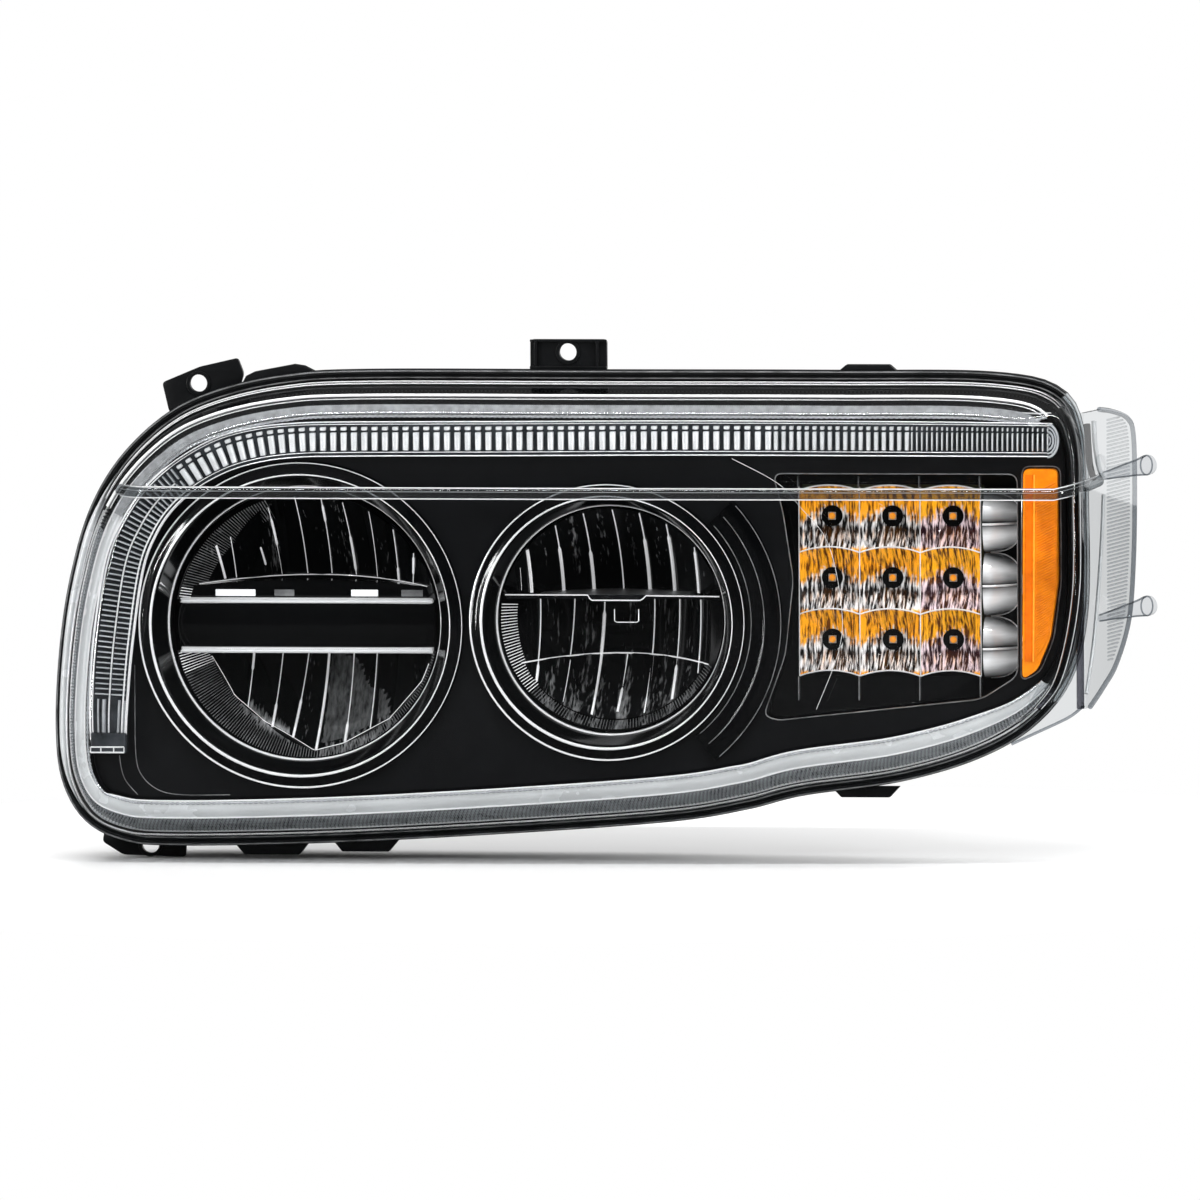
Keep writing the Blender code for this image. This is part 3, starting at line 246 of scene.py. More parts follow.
def define_mirrors():
    # Chrome whose streaks and painted-light attribute paint its reflections; the cups and louvres also have a
    # painted glow.
    define("dark_chrome", mirror_look, "bowl_mirror", (0.75, 0.76, 0.77), (700, 120, 110), 2.2, 0.5)
    # A calmer copy for the smooth grey patch of the low beam's lower reflector, a painted reflection.
    define("dark_chrome", mirror_look, "bowl_satin", (0.75, 0.76, 0.77), (500, 90, 160), 0.5, 0.35,
           rough=0.2)
    define("bright_chrome", mirror_look, "cup_mirror", (0.95, 0.95, 0.96), REFLECTION_STREAK_LONG, 5.5, 0.2,
           warm=(1.0, 0.43, 0.02), glow=0.35)
    define("bright_chrome", mirror_look, "cup_rose", (0.96, 0.8, 0.86), REFLECTION_STREAK_LONG, 5.5, 0.2,
           warm=(1.0, 0.47, 0.02), dark=(0.022, 0.007, 0.012), glow=0.35)
    define("bright_chrome", mirror_look, "louvre_mirror", (0.93, 0.94, 0.95), (40, 60, 200), 0.5, 0.35,
           dark=(0.035, 0.036, 0.037), glow=0.3)


def define_chromes():
    define("bright_chrome", surface, "edge_chrome", (0.93, 0.93, 0.94), 0.16, metal=0.15, rough_vary=0.05,
           coat=0.3)
    # The next three glow: a painted glow that makes the bar strips, facet seams and shelf windows read white;
    # none of them is a lamp.
    define("bright_chrome", surface, "bright_chrome", (0.86, 0.87, 0.88), 0.09, metal=0.6,
           rough_vary=0.03, emit=0.26)
    define("bright_chrome", surface, "seam_chrome", (0.93, 0.93, 0.94), 0.16, metal=0.15, coat=0.3,
           emit=0.36)
    define("bright_chrome", surface, "window_white", (0.93, 0.94, 0.95), 0.26, vary=0.05, emit=0.5)
    define("dark_chrome", surface, "dark_chrome", (0.03, 0.032, 0.035), 0.07, metal=0.75, vary=0.5,
           vary_size=0.012, rough_vary=0.03)
    define("dark_chrome", surface, "smoke_chrome", (0.26, 0.265, 0.27), 0.12, metal=0.4, vary=0.45,
           vary_size=0.01, rough_vary=0.04)
    define("silver_trim", surface, "silver_white", (0.66, 0.68, 0.69), 0.26, metal=0.15, vary=0.08,
           vary_size=0.03, rough_vary=0.06)
    define("silver_trim", surface, "silver_rib", (0.5, 0.52, 0.54), 0.16, metal=0.3, vary=0.15,
           vary_size=0.01, rough_vary=0.05)
    define("silver_trim", surface, "rib_grey", (0.28, 0.29, 0.3), 0.34, vary=0.25, vary_size=0.004)


def define_clears():
    define("clear_lens", clear, "lens_clear", (0.985, 0.988, 0.99), rough=0.035)
    define("clear_lens", clear, "lens_rib", (0.86, 0.88, 0.89), rough=0.05, haze=0.04)
    define("clear_lens", clear, "skirt_clear", (0.8, 0.82, 0.83), rough=0.03, haze=0.1)
    define("clear_lens", clear, "wing_clear", (0.885, 0.895, 0.9), rough=0.02)
    define("clear_lens", clear, "wing_rib", (0.86, 0.87, 0.88), rough=0.05)
    define("clear_lens", clear, "wing_edge", (0.6, 0.62, 0.64), rough=0.03, ior=1.6)
    define("clear_lens", clear, "bead_clear", (0.55, 0.57, 0.58), rough=0.02, ior=1.6, haze=0.015)
    define("clear_lens", clear, "smoke_clear", (0.4, 0.4, 0.43), rough=0.03)


def define_lamps():
    define("light_guide", surface, "guide_bar", (0.86, 0.87, 0.88), 0.12, metal=0.25, vary=0.1,
           vary_size=0.008, rough_vary=0.04, coat=0.4)
    define("light_guide", surface, "guide_base", (0.034, 0.038, 0.043), 0.2, vary=0.5, vary_size=0.012,
           coat=0.4)
    define("light_guide", surface, "guide_dim", (0.46, 0.48, 0.5), 0.12, metal=0.2, vary=0.2,
           vary_size=0.01, rough_vary=0.04, coat=0.4)
    define("amber", surface, "amber", (1.0, 0.25, 0.004), 0.16, vary=0.18, vary_size=0.006, coat=0.6,
           rough_vary=0.04)
    define("amber", surface, "amber_deep", (0.9, 0.17, 0.003), 0.14, vary=0.15, vary_size=0.006, coat=0.6)
    define("amber", surface, "led_dome", (1.0, 0.36, 0.03), 0.14, coat=0.7, vary=0.15, vary_size=0.002,
           emit=0.35)
    define("board", surface, "led_white", (0.42, 0.4, 0.36), 0.25, vary=0.1, vary_size=0.002)


def define_hardware():
    define("aluminium", surface, "aluminium", (0.52, 0.53, 0.54), 0.42, metal=0.9, grain=0.6,
           grain_size=0.0012, vary=0.12, rough_vary=0.1)
    define("steel", surface, "steel", (0.56, 0.57, 0.58), 0.28, metal=1.0, grain=0.2, grain_size=0.0005,
           vary=0.1, rough_vary=0.1)
    define("brass", surface, "brass", (0.72, 0.53, 0.22), 0.26, metal=1.0, vary=0.12, rough_vary=0.08)
    define("nylon", surface, "nylon", (0.62, 0.62, 0.58), 0.46, grain=0.3, grain_size=0.0006, vary=0.06)
    define("board", surface, "board", (0.012, 0.045, 0.028), 0.38, grain=0.5, grain_size=0.0016, vary=0.5,
           vary_size=0.0025)


define_blacks()
define_mirrors()
define_chromes()
define_clears()
define_lamps()
define_hardware()


# ---------------------------------------------------------------- mesh helpers
WELD_REACH = 0.000002
VIEW_SLIP = (0.122, 0.07)  # how far a point moves across and up in the front view for each metre of depth


def smoothed(mesh, angle=35.0):
    mesh.polygons.foreach_set("use_smooth", [True] * len(mesh.polygons))
    mesh.set_sharp_from_angle(angle=radians(angle))
    mesh.update()


def bake_modifiers(obj):
    """The object's modifiers applied to its mesh."""
    bpy.context.view_layer.update()
    evaluated = obj.evaluated_get(bpy.context.evaluated_depsgraph_get())
    mesh = bpy.data.meshes.new_from_object(evaluated)
    obj.modifiers.clear()
    obj.data = mesh


def weld(mesh):
    """Joins corners that meet, and turns all faces outwards."""
    builder = bmesh.new()
    builder.from_mesh(mesh)
    bmesh.ops.remove_doubles(builder, verts=builder.verts, dist=WELD_REACH)
    bmesh.ops.recalc_face_normals(builder, faces=builder.faces)
    builder.to_mesh(mesh)
    builder.free()


def thicken(obj, wall, side):
    modifier = obj.modifiers.new("wall", "SOLIDIFY")
    modifier.thickness, modifier.offset = wall, side


def round_edges(obj, width, angle):
    modifier = obj.modifiers.new("edge", "BEVEL")
    modifier.width, modifier.segments = width, 2
    modifier.limit_method, modifier.angle_limit = "ANGLE", radians(angle)
    modifier.use_clamp_overlap = True


def piece(name, vertices, faces, materials, tones=(), body="housing", wall=0.0, side=-1.0, bevel=0.0,
          angle=35.0, values=None):
    """A detailed mesh piece: welded, optionally thickened and bevelled, smoothed and riding on its body.
    tones holds each face's number in the materials; values holds vertex attributes as functions of place."""
    mesh = bpy.data.meshes.new(name)
    mesh.from_pydata([tuple(v) for v in vertices], [], [tuple(f) for f in faces])
    for material in materials:
        mesh.materials.append(MAT[material])
    if tones:
        mesh.polygons.foreach_set("material_index", tones)
    mesh.update()
    weld(mesh)
    for attribute, value_of in (values or {}).items():
        layer = mesh.attributes.new(attribute, "FLOAT", "POINT")
        layer.data.foreach_set("value", [value_of(*v.co) for v in mesh.vertices])
    obj = bpy.data.objects.new(name, mesh)
    bpy.context.scene.collection.objects.link(obj)
    obj.location = LAMP_SHIFT
    if wall:
        thicken(obj, wall, side)
    if bevel:
        round_edges(obj, bevel, 40)
    if wall or bevel:
        bake_modifiers(obj)
    smoothed(obj.data, angle)
    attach(obj, body)
    return obj


class Shape:
    """Vertices and faces gathered for one piece, with a tone number per face."""

    def __init__(self):
        self.vertices, self.faces, self.tones = [], [], []

    def add(self, vertices, faces, tone=0):
        start = len(self.vertices)
        self.vertices += [tuple(v) for v in vertices]
        self.faces += [tuple(start + i for i in face) for face in faces]
        self.tones += [tone] * len(faces)
        return self

    def grid(self, rows, tone=0, closed=False):
        """A sheet through rows of points that have the same count."""
        count = len(rows[0])
        faces = []
        for r in range(len(rows) - 1):
            for c in range(count if closed else count - 1):
                d = (c + 1) % count
                faces.append((r * count + c, r * count + d, (r + 1) * count + d, (r + 1) * count + c))
        return self.add([p for row in rows for p in row], faces, tone)

    def cap(self, count):
        """Closes a sheet with one face over its last points."""
        start = len(self.vertices) - count
        self.faces.append(tuple(range(start, start + count)))
        self.tones.append(0)
        return self

    def paint(self, tone_of):
        """Gives each face the tone that its number asks for."""
        self.tones = [tone_of(k) for k in range(len(self.faces))]
        return self

    def block(self, xs, ys, zs, tone=0):
        corners = [(x, y, z) for x in xs for y in ys for z in zs]
        faces = [(0, 1, 3, 2), (4, 6, 7, 5), (0, 4, 5, 1), (2, 3, 7, 6), (0, 2, 6, 4), (1, 5, 7, 3)]
        return self.add(corners, faces, tone)

    def prism(self, loop, ys, tone=0):
        """A solid between two depths over a closed, convex-enough loop of (x, z)."""
        count = len(loop)
        front = [(x, ys[0], z) for x, z in loop]
        back = [(x, ys[1], z) for x, z in loop]
        faces = [tuple(range(count)), tuple(range(2 * count - 1, count - 1, -1))]
        faces += [(i, (i + 1) % count, count + (i + 1) % count, count + i) for i in range(count)]
        return self.add(front + back, faces, tone)

    def tube(self, points, radius, sides=8, closed=False):
        """A round bar along points, with flat ends when it is open; radius may be one for each point."""
        points = [Vector(p) for p in points]
        count = len(points)
        rows = []
        normal = None
        for i, point in enumerate(points):
            before = points[i - 1] if (closed or i) else point
            after = points[(i + 1) % count] if (closed or i < count - 1) else point
            along = (after - before).normalized()
            if normal is None:
                normal = along.orthogonal().normalized()
            normal = (normal - along * normal.dot(along)).normalized()
            across = along.cross(normal)
            size = radius[i] if isinstance(radius, (list, tuple)) else radius
            rows.append([point + (normal * cos(a) + across * sin(a)) * size for a in turns(sides)])
        if closed:
            best = min(range(sides), key=lambda k: (rows[-1][k] - rows[0][0]).length)
            rows.append([rows[0][(k - best) % sides] for k in range(sides)])
            return self.grid(rows, closed=True)
        first = len(self.vertices)
        self.grid(rows, closed=True)
        last = len(self.vertices) - sides
        self.faces += [tuple(range(first + sides - 1, first - 1, -1)), tuple(range(last, last + sides))]
        self.tones += [0, 0]
        return self

    def turned(self, profile, x, z, steps, start=0.0, sweep=360.0, closed=True):
        """A profile of (radius, y) turned about the line through (x, z) along Y."""
        whole = sweep >= 360.0
        rows = []
        for i in range(steps if whole else steps + 1):
            a = radians(start + sweep * i / steps)
            rows.append([(x + r * cos(a), y, z + r * sin(a)) for r, y in profile])
        if whole:
            rows.append(rows[0])
        return self.grid(rows, closed=closed)

    def make(self, name, materials, body="housing", **options):
        if isinstance(materials, str):
            materials = [materials]
        return piece(name, self.vertices, self.faces, materials, self.tones, body, **options)


def bars(name, material, runs, body="housing", sides=6, closed=False, **options):
    """A piece of round bars: each run is its points and its radius."""
    shape = Shape()
    for points, radius in runs:
        shape.tube(points, radius, sides, closed)
    return shape.make(name, material, body, **options)


def spots(seen, y):
    """The layout points at depth y that the front view shows at these millimetres across and up."""
    slip_x, slip_z = VIEW_SLIP
    return [Vector((across / 1000 - slip_x * y, y, up / 1000 - slip_z * y)) for across, up in seen]


def turns(count):
    return [2 * pi * i / count for i in range(count)]


def peak(value, middle, width):
    """1 at the middle, falling evenly to 0 at width on both sides."""
    return max(0.0, 1 - abs(value - middle) / width)


def line_through(points):
    """The height over x of a broken line, level beyond its ends."""
    def height(x):
        if x <= points[0][0]:
            return points[0][1]
        for (xa, za), (xb, zb) in zip(points, points[1:]):
            if x <= xb:
                return za + (zb - za) * (x - xa) / (xb - xa)
        return points[-1][1]
    return height


def smooth_line(points, per_span, closed=False):
    """Catmull-Rom curve through points of any size."""
    points = [Vector(p) for p in points]
    number = len(points)
    line = []
    for i in range(number if closed else number - 1):
        near = [i - 1, i, i + 1, i + 2]
        a, b, c, d = (points[k % number] if closed else points[min(max(k, 0), number - 1)] for k in near)
        for step in range(per_span):
            t = step / per_span
            bend = (a * 2 - b * 5 + c * 4 - d) * t**2 + (b * 3 - a - c * 3 + d) * t**3
            line.append((b * 2 + (c - a) * t + bend) / 2)
    if not closed:
        line.append(points[-1])
    return line


def resampled(line, spacing, closed=False):
    """Points evenly spaced along a line, about spacing apart."""
    points = line + [line[0]] if closed else line
    lengths = [0.0]
    for a, b in zip(points, points[1:]):
        lengths.append(lengths[-1] + (b - a).length)
    number = max(2, round(lengths[-1] / spacing))
    made, k = [], 0
    for i in range(number if closed else number + 1):
        goal = lengths[-1] * i / number
        while k < len(points) - 2 and lengths[k + 1] < goal:
            k += 1
        share = (goal - lengths[k]) / max(1e-9, lengths[k + 1] - lengths[k])
        made.append(points[k] + (points[k + 1] - points[k]) * min(1.0, share))
    return made


def stations(spacing):
    """Evenly spaced points of the flange edge with the way each one faces, outwards."""
    line = resampled(smooth_line(FLANGE_EDGE, 12, closed=True), spacing, closed=True)
    made = []
    for i, point in enumerate(line):
        along = (line[(i + 1) % len(line)] - line[i - 1]).normalized()
        made.append((point.x, point.y, along.y, -along.x))
    return made


def run_of(line, keep):
    """The unbroken run of stations that pass a test, in order."""
    start = next(i for i in range(len(line)) if keep(line[i]) and not keep(line[i - 1]))
    run = []
    for station in line[start:] + line[:start]:
        if not keep(station):
            break
        run.append(station)
    return run


def inset(station, left, right=None, top=None, bottom=None):
    """A station moved inwards, by its own amount on each side of the lamp or by one amount all round."""
    if right is None:
        right = top = bottom = left
    x, z, nx, nz = station
    amount = nx * nx * (left if nx < 0 else right) + nz * nz * (top if nz > 0 else bottom)
    return x - nx * amount, z - nz * amount


def ring(line, y, *insets):
    return [(x, y, z) for x, z in (inset(station, *insets) for station in line)]


def rippled(line, keys, pushes, shift=0):
    """Rings whose stations are pushed in turn; the ripple of each next ring starts shift stations on."""
    rows = []
    for k, (y, *insets) in enumerate(keys):
        row = []
        for i, station in enumerate(line):
            push = pushes[(i + shift * k) % len(pushes)]
            x, z = inset(station, *[value + push for value in insets])
            row.append((x, y, z))
        rows.append(row)
    return rows


def squeezed(line, y, left, right, top, bottom):
    """A ring made by scaling the whole line into a smaller box."""
    xs, zs = [s[0] for s in line], [s[1] for s in line]
    scale_x = 1 - (left + right) / (max(xs) - min(xs))
    scale_z = 1 - (top + bottom) / (max(zs) - min(zs))
    return [(min(xs) + left + (s[0] - min(xs)) * scale_x, y, min(zs) + bottom + (s[1] - min(zs)) * scale_z)
            for s in line]


def circle(x, z, radius, count=64):
    return [(x + radius * cos(a), z + radius * sin(a)) for a in turns(count)]


def rounded(corners, radius, steps=6):
    """A closed loop of (x, z) with its corners rounded off."""
    loop, count = [], len(corners)
    for i, corner in enumerate(corners):
        here = Vector(corner)
        before, after = Vector(corners[i - 1]) - here, Vector(corners[(i + 1) % count]) - here
        reach = min(radius, before.length / 2, after.length / 2)
        start, end = here + before.normalized() * reach, here + after.normalized() * reach
        for step in range(steps + 1):
            t = step / steps
            loop.append(tuple(start * (1 - t) ** 2 + here * 2 * t * (1 - t) + end * t**2))
    return loop


def plate(name, loops, ys, material, body="housing", bevel=0.0):
    """A flat plate facing -Y from loops of (x, z); the loops inside the first are holes."""
    curve = bpy.data.curves.new(name, "CURVE")
    curve.dimensions, curve.fill_mode = "2D", "BOTH"
    curve.extrude = (ys[1] - ys[0]) / 2 - bevel
    curve.bevel_depth, curve.bevel_resolution = bevel, 1
    curve.offset = -bevel
    for loop in loops:
        spline = curve.splines.new("POLY")
        spline.points.add(len(loop) - 1)
        for point, (x, z) in zip(spline.points, loop):
            point.co = (x, z, 0, 1)
        spline.use_cyclic_u = True
    holder = bpy.data.objects.new(name + "_curve", curve)
    bpy.context.scene.collection.objects.link(holder)
    bpy.context.view_layer.update()
    mesh = bpy.data.meshes.new_from_object(holder.evaluated_get(bpy.context.evaluated_depsgraph_get()))
    bpy.data.objects.remove(holder, do_unlink=True)
    middle = (ys[0] + ys[1]) / 2
    vertices = [(v.co.x, middle - v.co.z, v.co.y) for v in mesh.vertices]
    faces = [tuple(p.vertices) for p in mesh.polygons]
    return piece(name, vertices, faces, [material], body=body)


# ---------------------------------------------------------------- outer lens
LENS_WALL = 0.0028
CREASE_LEAN = 0.2
LENS_KEYS = [  # depth, then the insets left, right, top and bottom
    (0.0024, 0.0055, 0.0055, 0.0055, 0.0055), (-0.008, 0.006, 0.005, 0.0062, 0.0062),
    (-0.023, 0.0086, 0.0028, 0.0083, 0.0073), (-0.036, 0.0115, 0.0008, 0.0105, 0.0085),
    (-0.047, 0.0155, -0.0012, 0.0124, 0.0097), (-0.056, 0.0205, -0.0028, 0.015, 0.0115),
    (-0.062, 0.0243, -0.0018, 0.0178, 0.0142), (-0.0655, 0.027, -0.0002, 0.0203, 0.0166),
    (-0.068, 0.03, 0.002, 0.023, 0.019),
]
FACE_SHARES = (0.03, 0.08, 0.15, 0.25, 0.38, 0.52, 0.66, 0.8)
FLUTE_KEYS = ((-0.009, 0.0095, 0.0083, 0.0097, 0.0097), (-0.023, 0.012, 0.0062, 0.0117, 0.0107),
              (-0.034, 0.0142, 0.0044, 0.0136, 0.0116))
WING_X, WING_Y = 0.2925, -0.056
LUG_LEVELS = (0.08, -0.004)
# The lugs and their outlines are rows of share along the lug and radius.
LUG_BODY = ((0, 0.0022), (0.25, 0.003), (0.5, 0.004), (0.72, 0.0048), (0.86, 0.0055), (0.94, 0.0061),
            (1.0, 0.0058))
LUG_OUTLINE = ((0, 0.0018), (0.25, 0.0026), (0.5, 0.0036), (0.72, 0.0044), (0.92, 0.0056))
WING_GLEAMS = (
    ("wing_gleam_upper", "silver_white", 0.0015, [(0.25, 0.109), (0.27, 0.095), (0.33, 0.082), (0.4, 0.075)]),
    ("wing_shadow_upper", "gloss_black", 0.002, [(0.13, 0.108), (0.15, 0.095), (0.18, 0.083), (0.24, 0.075)]),
    ("wing_gleam_lower", "silver_white", 0.0011, [(0.42, 0.064), (0.37, 0.03), (0.24, -0.02), (0.1, -0.052)]),
    ("wing_shadow_lower", "smoke_clear", 0.0023, [(0.02, 0.064), (0.01, 0.03), (0.0, -0.015), (0.0, -0.06)]),
)
FOOT_YS = (-0.052, -0.05)
FOOT_LOOP = ((280.0, 24.0), (285.6, 22.0), (286.2, -63.6), (272.4, -71.4), (256.8, -78.6), (243.0, -85.2),
             (252.0, -63.0), (270.0, -33.0), (278.0, -6.0))
FOOT_KEEL = ((286.4, -62.0), (279.6, -67.6), (272.4, -71.6), (256.8, -78.8), (243.0, -85.2))
BEAD_SPAN = (-0.265, 0.277)
BEAD_LEFT = [(-0.2835, -0.049, CREASE_Z), (-0.2795, -0.056, CREASE_Z), (-0.2755, -0.062, CREASE_Z),
             (-0.271, -0.066, CREASE_Z)]
BEAD_RIGHT = [(0.2845, -0.0625, 0.0696), (0.2885, -0.056, 0.0705), (0.2945, -0.0405, 0.0718),
              (0.299, -0.025, 0.0735)]
LENS_CORNER = [(0.2893, -0.0575, 0.069), (0.2898, -0.059, 0.04), (0.289, -0.059, 0.01),
               (0.2845, -0.059, -0.02), (0.277, -0.059, -0.045), (0.266, -0.0595, -0.06)]
ZONE_ARC = ((76.8, 84.0), (103.8, 69.6), (117.6, 55.2), (133.8, 34.2), (141.6, -1.8), (140.4, -28.8),
            (126.6, -64.8))


def lens_ring(line, y, *insets):
    """A ring of the lens's side wall, leaning back above the crease line."""
    depth = max(0.0, y / LENS_FACE_Y)
    return [(x, y + max(0.0, z - CREASE_Z) * CREASE_LEAN * depth, z) for x, _, z in ring(line, y, *insets)]


def face_ring(edge, share):
    """A ring of the lens's front face, a share of the way from its edge to its middle."""
    made = []
    for x, _, z in edge:
        z = -0.004 + (z + 0.004) * (1 - share)
        lean = max(0.0, z - CREASE_Z) * CREASE_LEAN
        made.append((x * (1 - share), LENS_FACE_Y - 0.005 * sin(share * pi / 2) + lean, z))
    return made


def make_lens_shell():
    line = stations(0.007)
    rows = [lens_ring(line, *key) for key in LENS_KEYS]
    rows += [face_ring(rows[-1], share) for share in FACE_SHARES]
    shape = Shape().grid(rows, closed=True).cap(len(line))
    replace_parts(shape.make("clear_outer_lens", "lens_clear", wall=LENS_WALL, angle=50), "outer_lens")


def make_lens_flutes():
    """Fine ribs moulded inside the lens's side wall."""
    line = run_of(stations(0.0009), lambda s: s[3] < 0.35 and s[2] < 0.85)
    Shape().grid(rippled(line, FLUTE_KEYS, (0.0, 0.0003))).make("lens_side_flutes", "lens_rib", angle=20)


def on_wing(t, z, x=WING_X):
    """The point of the side wing a share t round the corner, at a height."""
    return (x + 0.0235 * t - 0.004 * t * t, WING_Y + 0.116 * t, z)


def make_wing_sheet(profile):
    rows = [[on_wing(column / 16 * p.y, p.x) for column in range(17)] for p in profile]
    Shape().grid(rows).make("lens_wing", "wing_clear", wall=LENS_WALL, side=0)
    rim = smooth_line([on_wing(reach, z) for z, reach in WING_REACH], 6)
    bars("wing_rim", "wing_edge", [(rim, 0.0015)], sides=8)


def make_wing_prisms(profile):
    """Fine level prisms on the inside of the wing, where it is wide enough for them."""
    reach_at = line_through([(p.x, p.y) for p in reversed(profile)])
    prisms = []
    for level in [-0.044 + 0.0022 * i for i in range(70)]:
        reach = reach_at(level)
        if reach >= 0.62:
            prisms.append(([on_wing(0.5 + (reach - 0.56) * k / 8, level, WING_X - 0.0017) for k in range(9)],
                           0.0006))
    bars("wing_prisms", "wing_rib", prisms, sides=5)


def make_wing_lugs():
    lugs, outlines = Shape(), Shape()
    for z in LUG_LEVELS:
        root = Vector((0.2985, -0.015, z - 0.005))
        axis = Vector((0.3245, 0.024, z)) - root
        lugs.tube([root + axis * share for share, _ in LUG_BODY], [size for _, size in LUG_BODY], 20)
        for side in (-1, 1):
            outlines.tube([root + axis * share + Vector((0, 0, side * size)) for share, size in LUG_OUTLINE],
                          0.0005, 6)
        end = root + axis * 0.94
        outlines.tube([end + Vector((0.0035 * cos(a), 0, 0.0058 * sin(a))) for a in turns(24)], 0.0005, 6,
                      closed=True)
    lugs.make("wing_lugs", "wing_rib")
    outlines.make("wing_lug_outlines", "wing_edge")


def make_wing():
    """Clear side wing with its prisms, lugs, gleams and the foot below it."""
    profile = smooth_line(WING_REACH, 5)
    make_wing_sheet(profile)
    make_wing_prisms(profile)
    make_wing_lugs()
    for name, material, size, path in WING_GLEAMS:
        line = smooth_line([on_wing(t, z, WING_X - 0.0015) for t, z in path], 8)
        bars(name, material, [(line, size)], sides=8)
    plate("wing_foot", [[(p.x, p.z) for p in spots(FOOT_LOOP, FOOT_YS[0])]], FOOT_YS, "wing_clear")
    bars("wing_foot_edge", "wing_edge", [(smooth_line(spots(FOOT_KEEL, FOOT_YS[0]), 5), 0.0009)], sides=8)


def make_crease_bead():
    start, end = BEAD_SPAN
    line = BEAD_LEFT + [(start + (end - start) * i / 40, LENS_FACE_Y - 0.004 * sin(pi * i / 40), CREASE_Z)
                        for i in range(41)] + BEAD_RIGHT
    bars("crease_bead", "bead_clear", [(line, 0.0036)], sides=14)
    # Bright bars along the bead's top and bottom: painted highlights.
    bars("crease_lines", "edge_chrome", [([(x, y - 0.0018, z + up) for x, y, z in line], size) for up, size in
                                         ((0.003, 0.00042), (-0.0034, 0.00034), (0.0008, 0.00016))])


def make_lens_corner():
    corner = smooth_line(LENS_CORNER, 6)
    bars("lens_corner_bead", "smoke_clear", [(corner, 0.0019)], sides=8)
    bars("lens_corner_lines", "silver_white",
         [([(p.x + across, p.y - 0.0008, p.z) for p in corner], 0.00026) for across in (-0.0021, 0.0021)])
    bars("lens_zone_arc", "edge_chrome", [(smooth_line(spots(ZONE_ARC, -0.0665), 10), 0.00016)], sides=5)


def make_outer_lens():
    make_lens_shell()
    make_lens_flutes()
    make_wing()
    make_crease_bead()
    make_lens_corner()


# ---------------------------------------------------------------- housing
TUB_RINGS = [  # depth, then the insets left, right, top and bottom, or one inset all round
    (-0.006, 0.0002), (0.006, 0.0002), (0.006, 0.0115), (0.012, 0.013, 0.014, 0.013, 0.013),
    (0.036, 0.0165, 0.024, 0.0155, 0.0155), (0.06, 0.02, 0.034, 0.018, 0.018),
]
TUB_STEPS = [
    (0.085, 0.0272, 0.049, 0.025, 0.0246), (0.101, 0.032, 0.06, 0.03, 0.029),
    (0.1052, 0.034, 0.0625, 0.0325, 0.0312), (0.1077, 0.0372, 0.0662, 0.0352, 0.0342),
]
FLANGE_RINGS = ((-0.0052, 0.0001), (-0.006, 0.0002), (-0.0064, 0.0006), (-0.0064, 0.0014), (-0.0052, 0.0017),
                (-0.004, 0.004), (-0.004, 0.0052), (-0.003, 0.0056))
CONNECTOR_HOLE = [(0.093, 0.0515), (0.123, 0.0515), (0.123, 0.0695), (0.093, 0.0695)]
VENT_HOLES = ((-0.256, 0.042), (0.195, 0.056))
TABS = [  # corners, middle of the hole and depth of the front
    ([(-0.2656, 0.1288), (-0.2434, 0.1381), (-0.22, 0.1435), (-0.2164, 0.1342), (-0.2206, 0.1204),
      (-0.2614, 0.1108)], (-0.2436, 0.1284), 0.0035),
    ([(-0.044, 0.155), (0.002, 0.155), (0.002, 0.136), (-0.044, 0.136)], (-0.0213, 0.1475), 0.0035),
    ([(-0.3045, -0.147), (-0.292, -0.1548), (-0.2545, -0.156), (-0.253, -0.129), (-0.3, -0.121)],
     (-0.2754, -0.1485), 0.0115),
]
TAB_HOLE, BOSS = 0.0052, 0.0073
UPPER_LEFT_LUG = [(-0.2184, 0.1254), (-0.2142, 0.1332), (-0.2094, 0.1356), (-0.1854, 0.1401),
                  (-0.1794, 0.1392), (-0.1722, 0.1356), (-0.1722, 0.1314)]
# The wedge lugs are rows of left x, right x, outer z and inner z.
WEDGE_LUGS = ((0.14, 0.178, 0.1406, 0.1355), (-0.223, -0.178, -0.1532, -0.146),
              (-0.164, -0.124, -0.1512, -0.144), (0.136, 0.177, -0.1175, -0.111))
# The corners of a tub rib: share of its half width, depth and height above its foot.
RIB_CORNERS = ((-1, 0.008, 0.004), (1, 0.008, 0.004), (1, 0.056, -0.003), (-1, 0.056, -0.003),
               (-1, 0.008, -0.006), (1, 0.008, -0.006), (1, 0.056, -0.008), (-1, 0.056, -0.008))
RIB_FACES = [(0, 1, 2, 3), (4, 7, 6, 5), (0, 4, 5, 1), (3, 2, 6, 7), (0, 3, 7, 4), (1, 5, 6, 2)]
CLEAR_FROM = 0.75


def make_tub(line):
    rows = [ring(line, *key) for key in TUB_RINGS] + [squeezed(line, *key) for key in TUB_STEPS]
    count = len(line)
    tub = Shape().grid(rows, closed=True)
    tub.paint(lambda k: 1 if k < 2 * count and line[k % count][2] > CLEAR_FROM else 0)
    shell = tub.make("housing_tub", ["tub_black", "skirt_clear"], wall=0.0025, bevel=0.0005, angle=40)
    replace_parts(shell, "rear_housing")


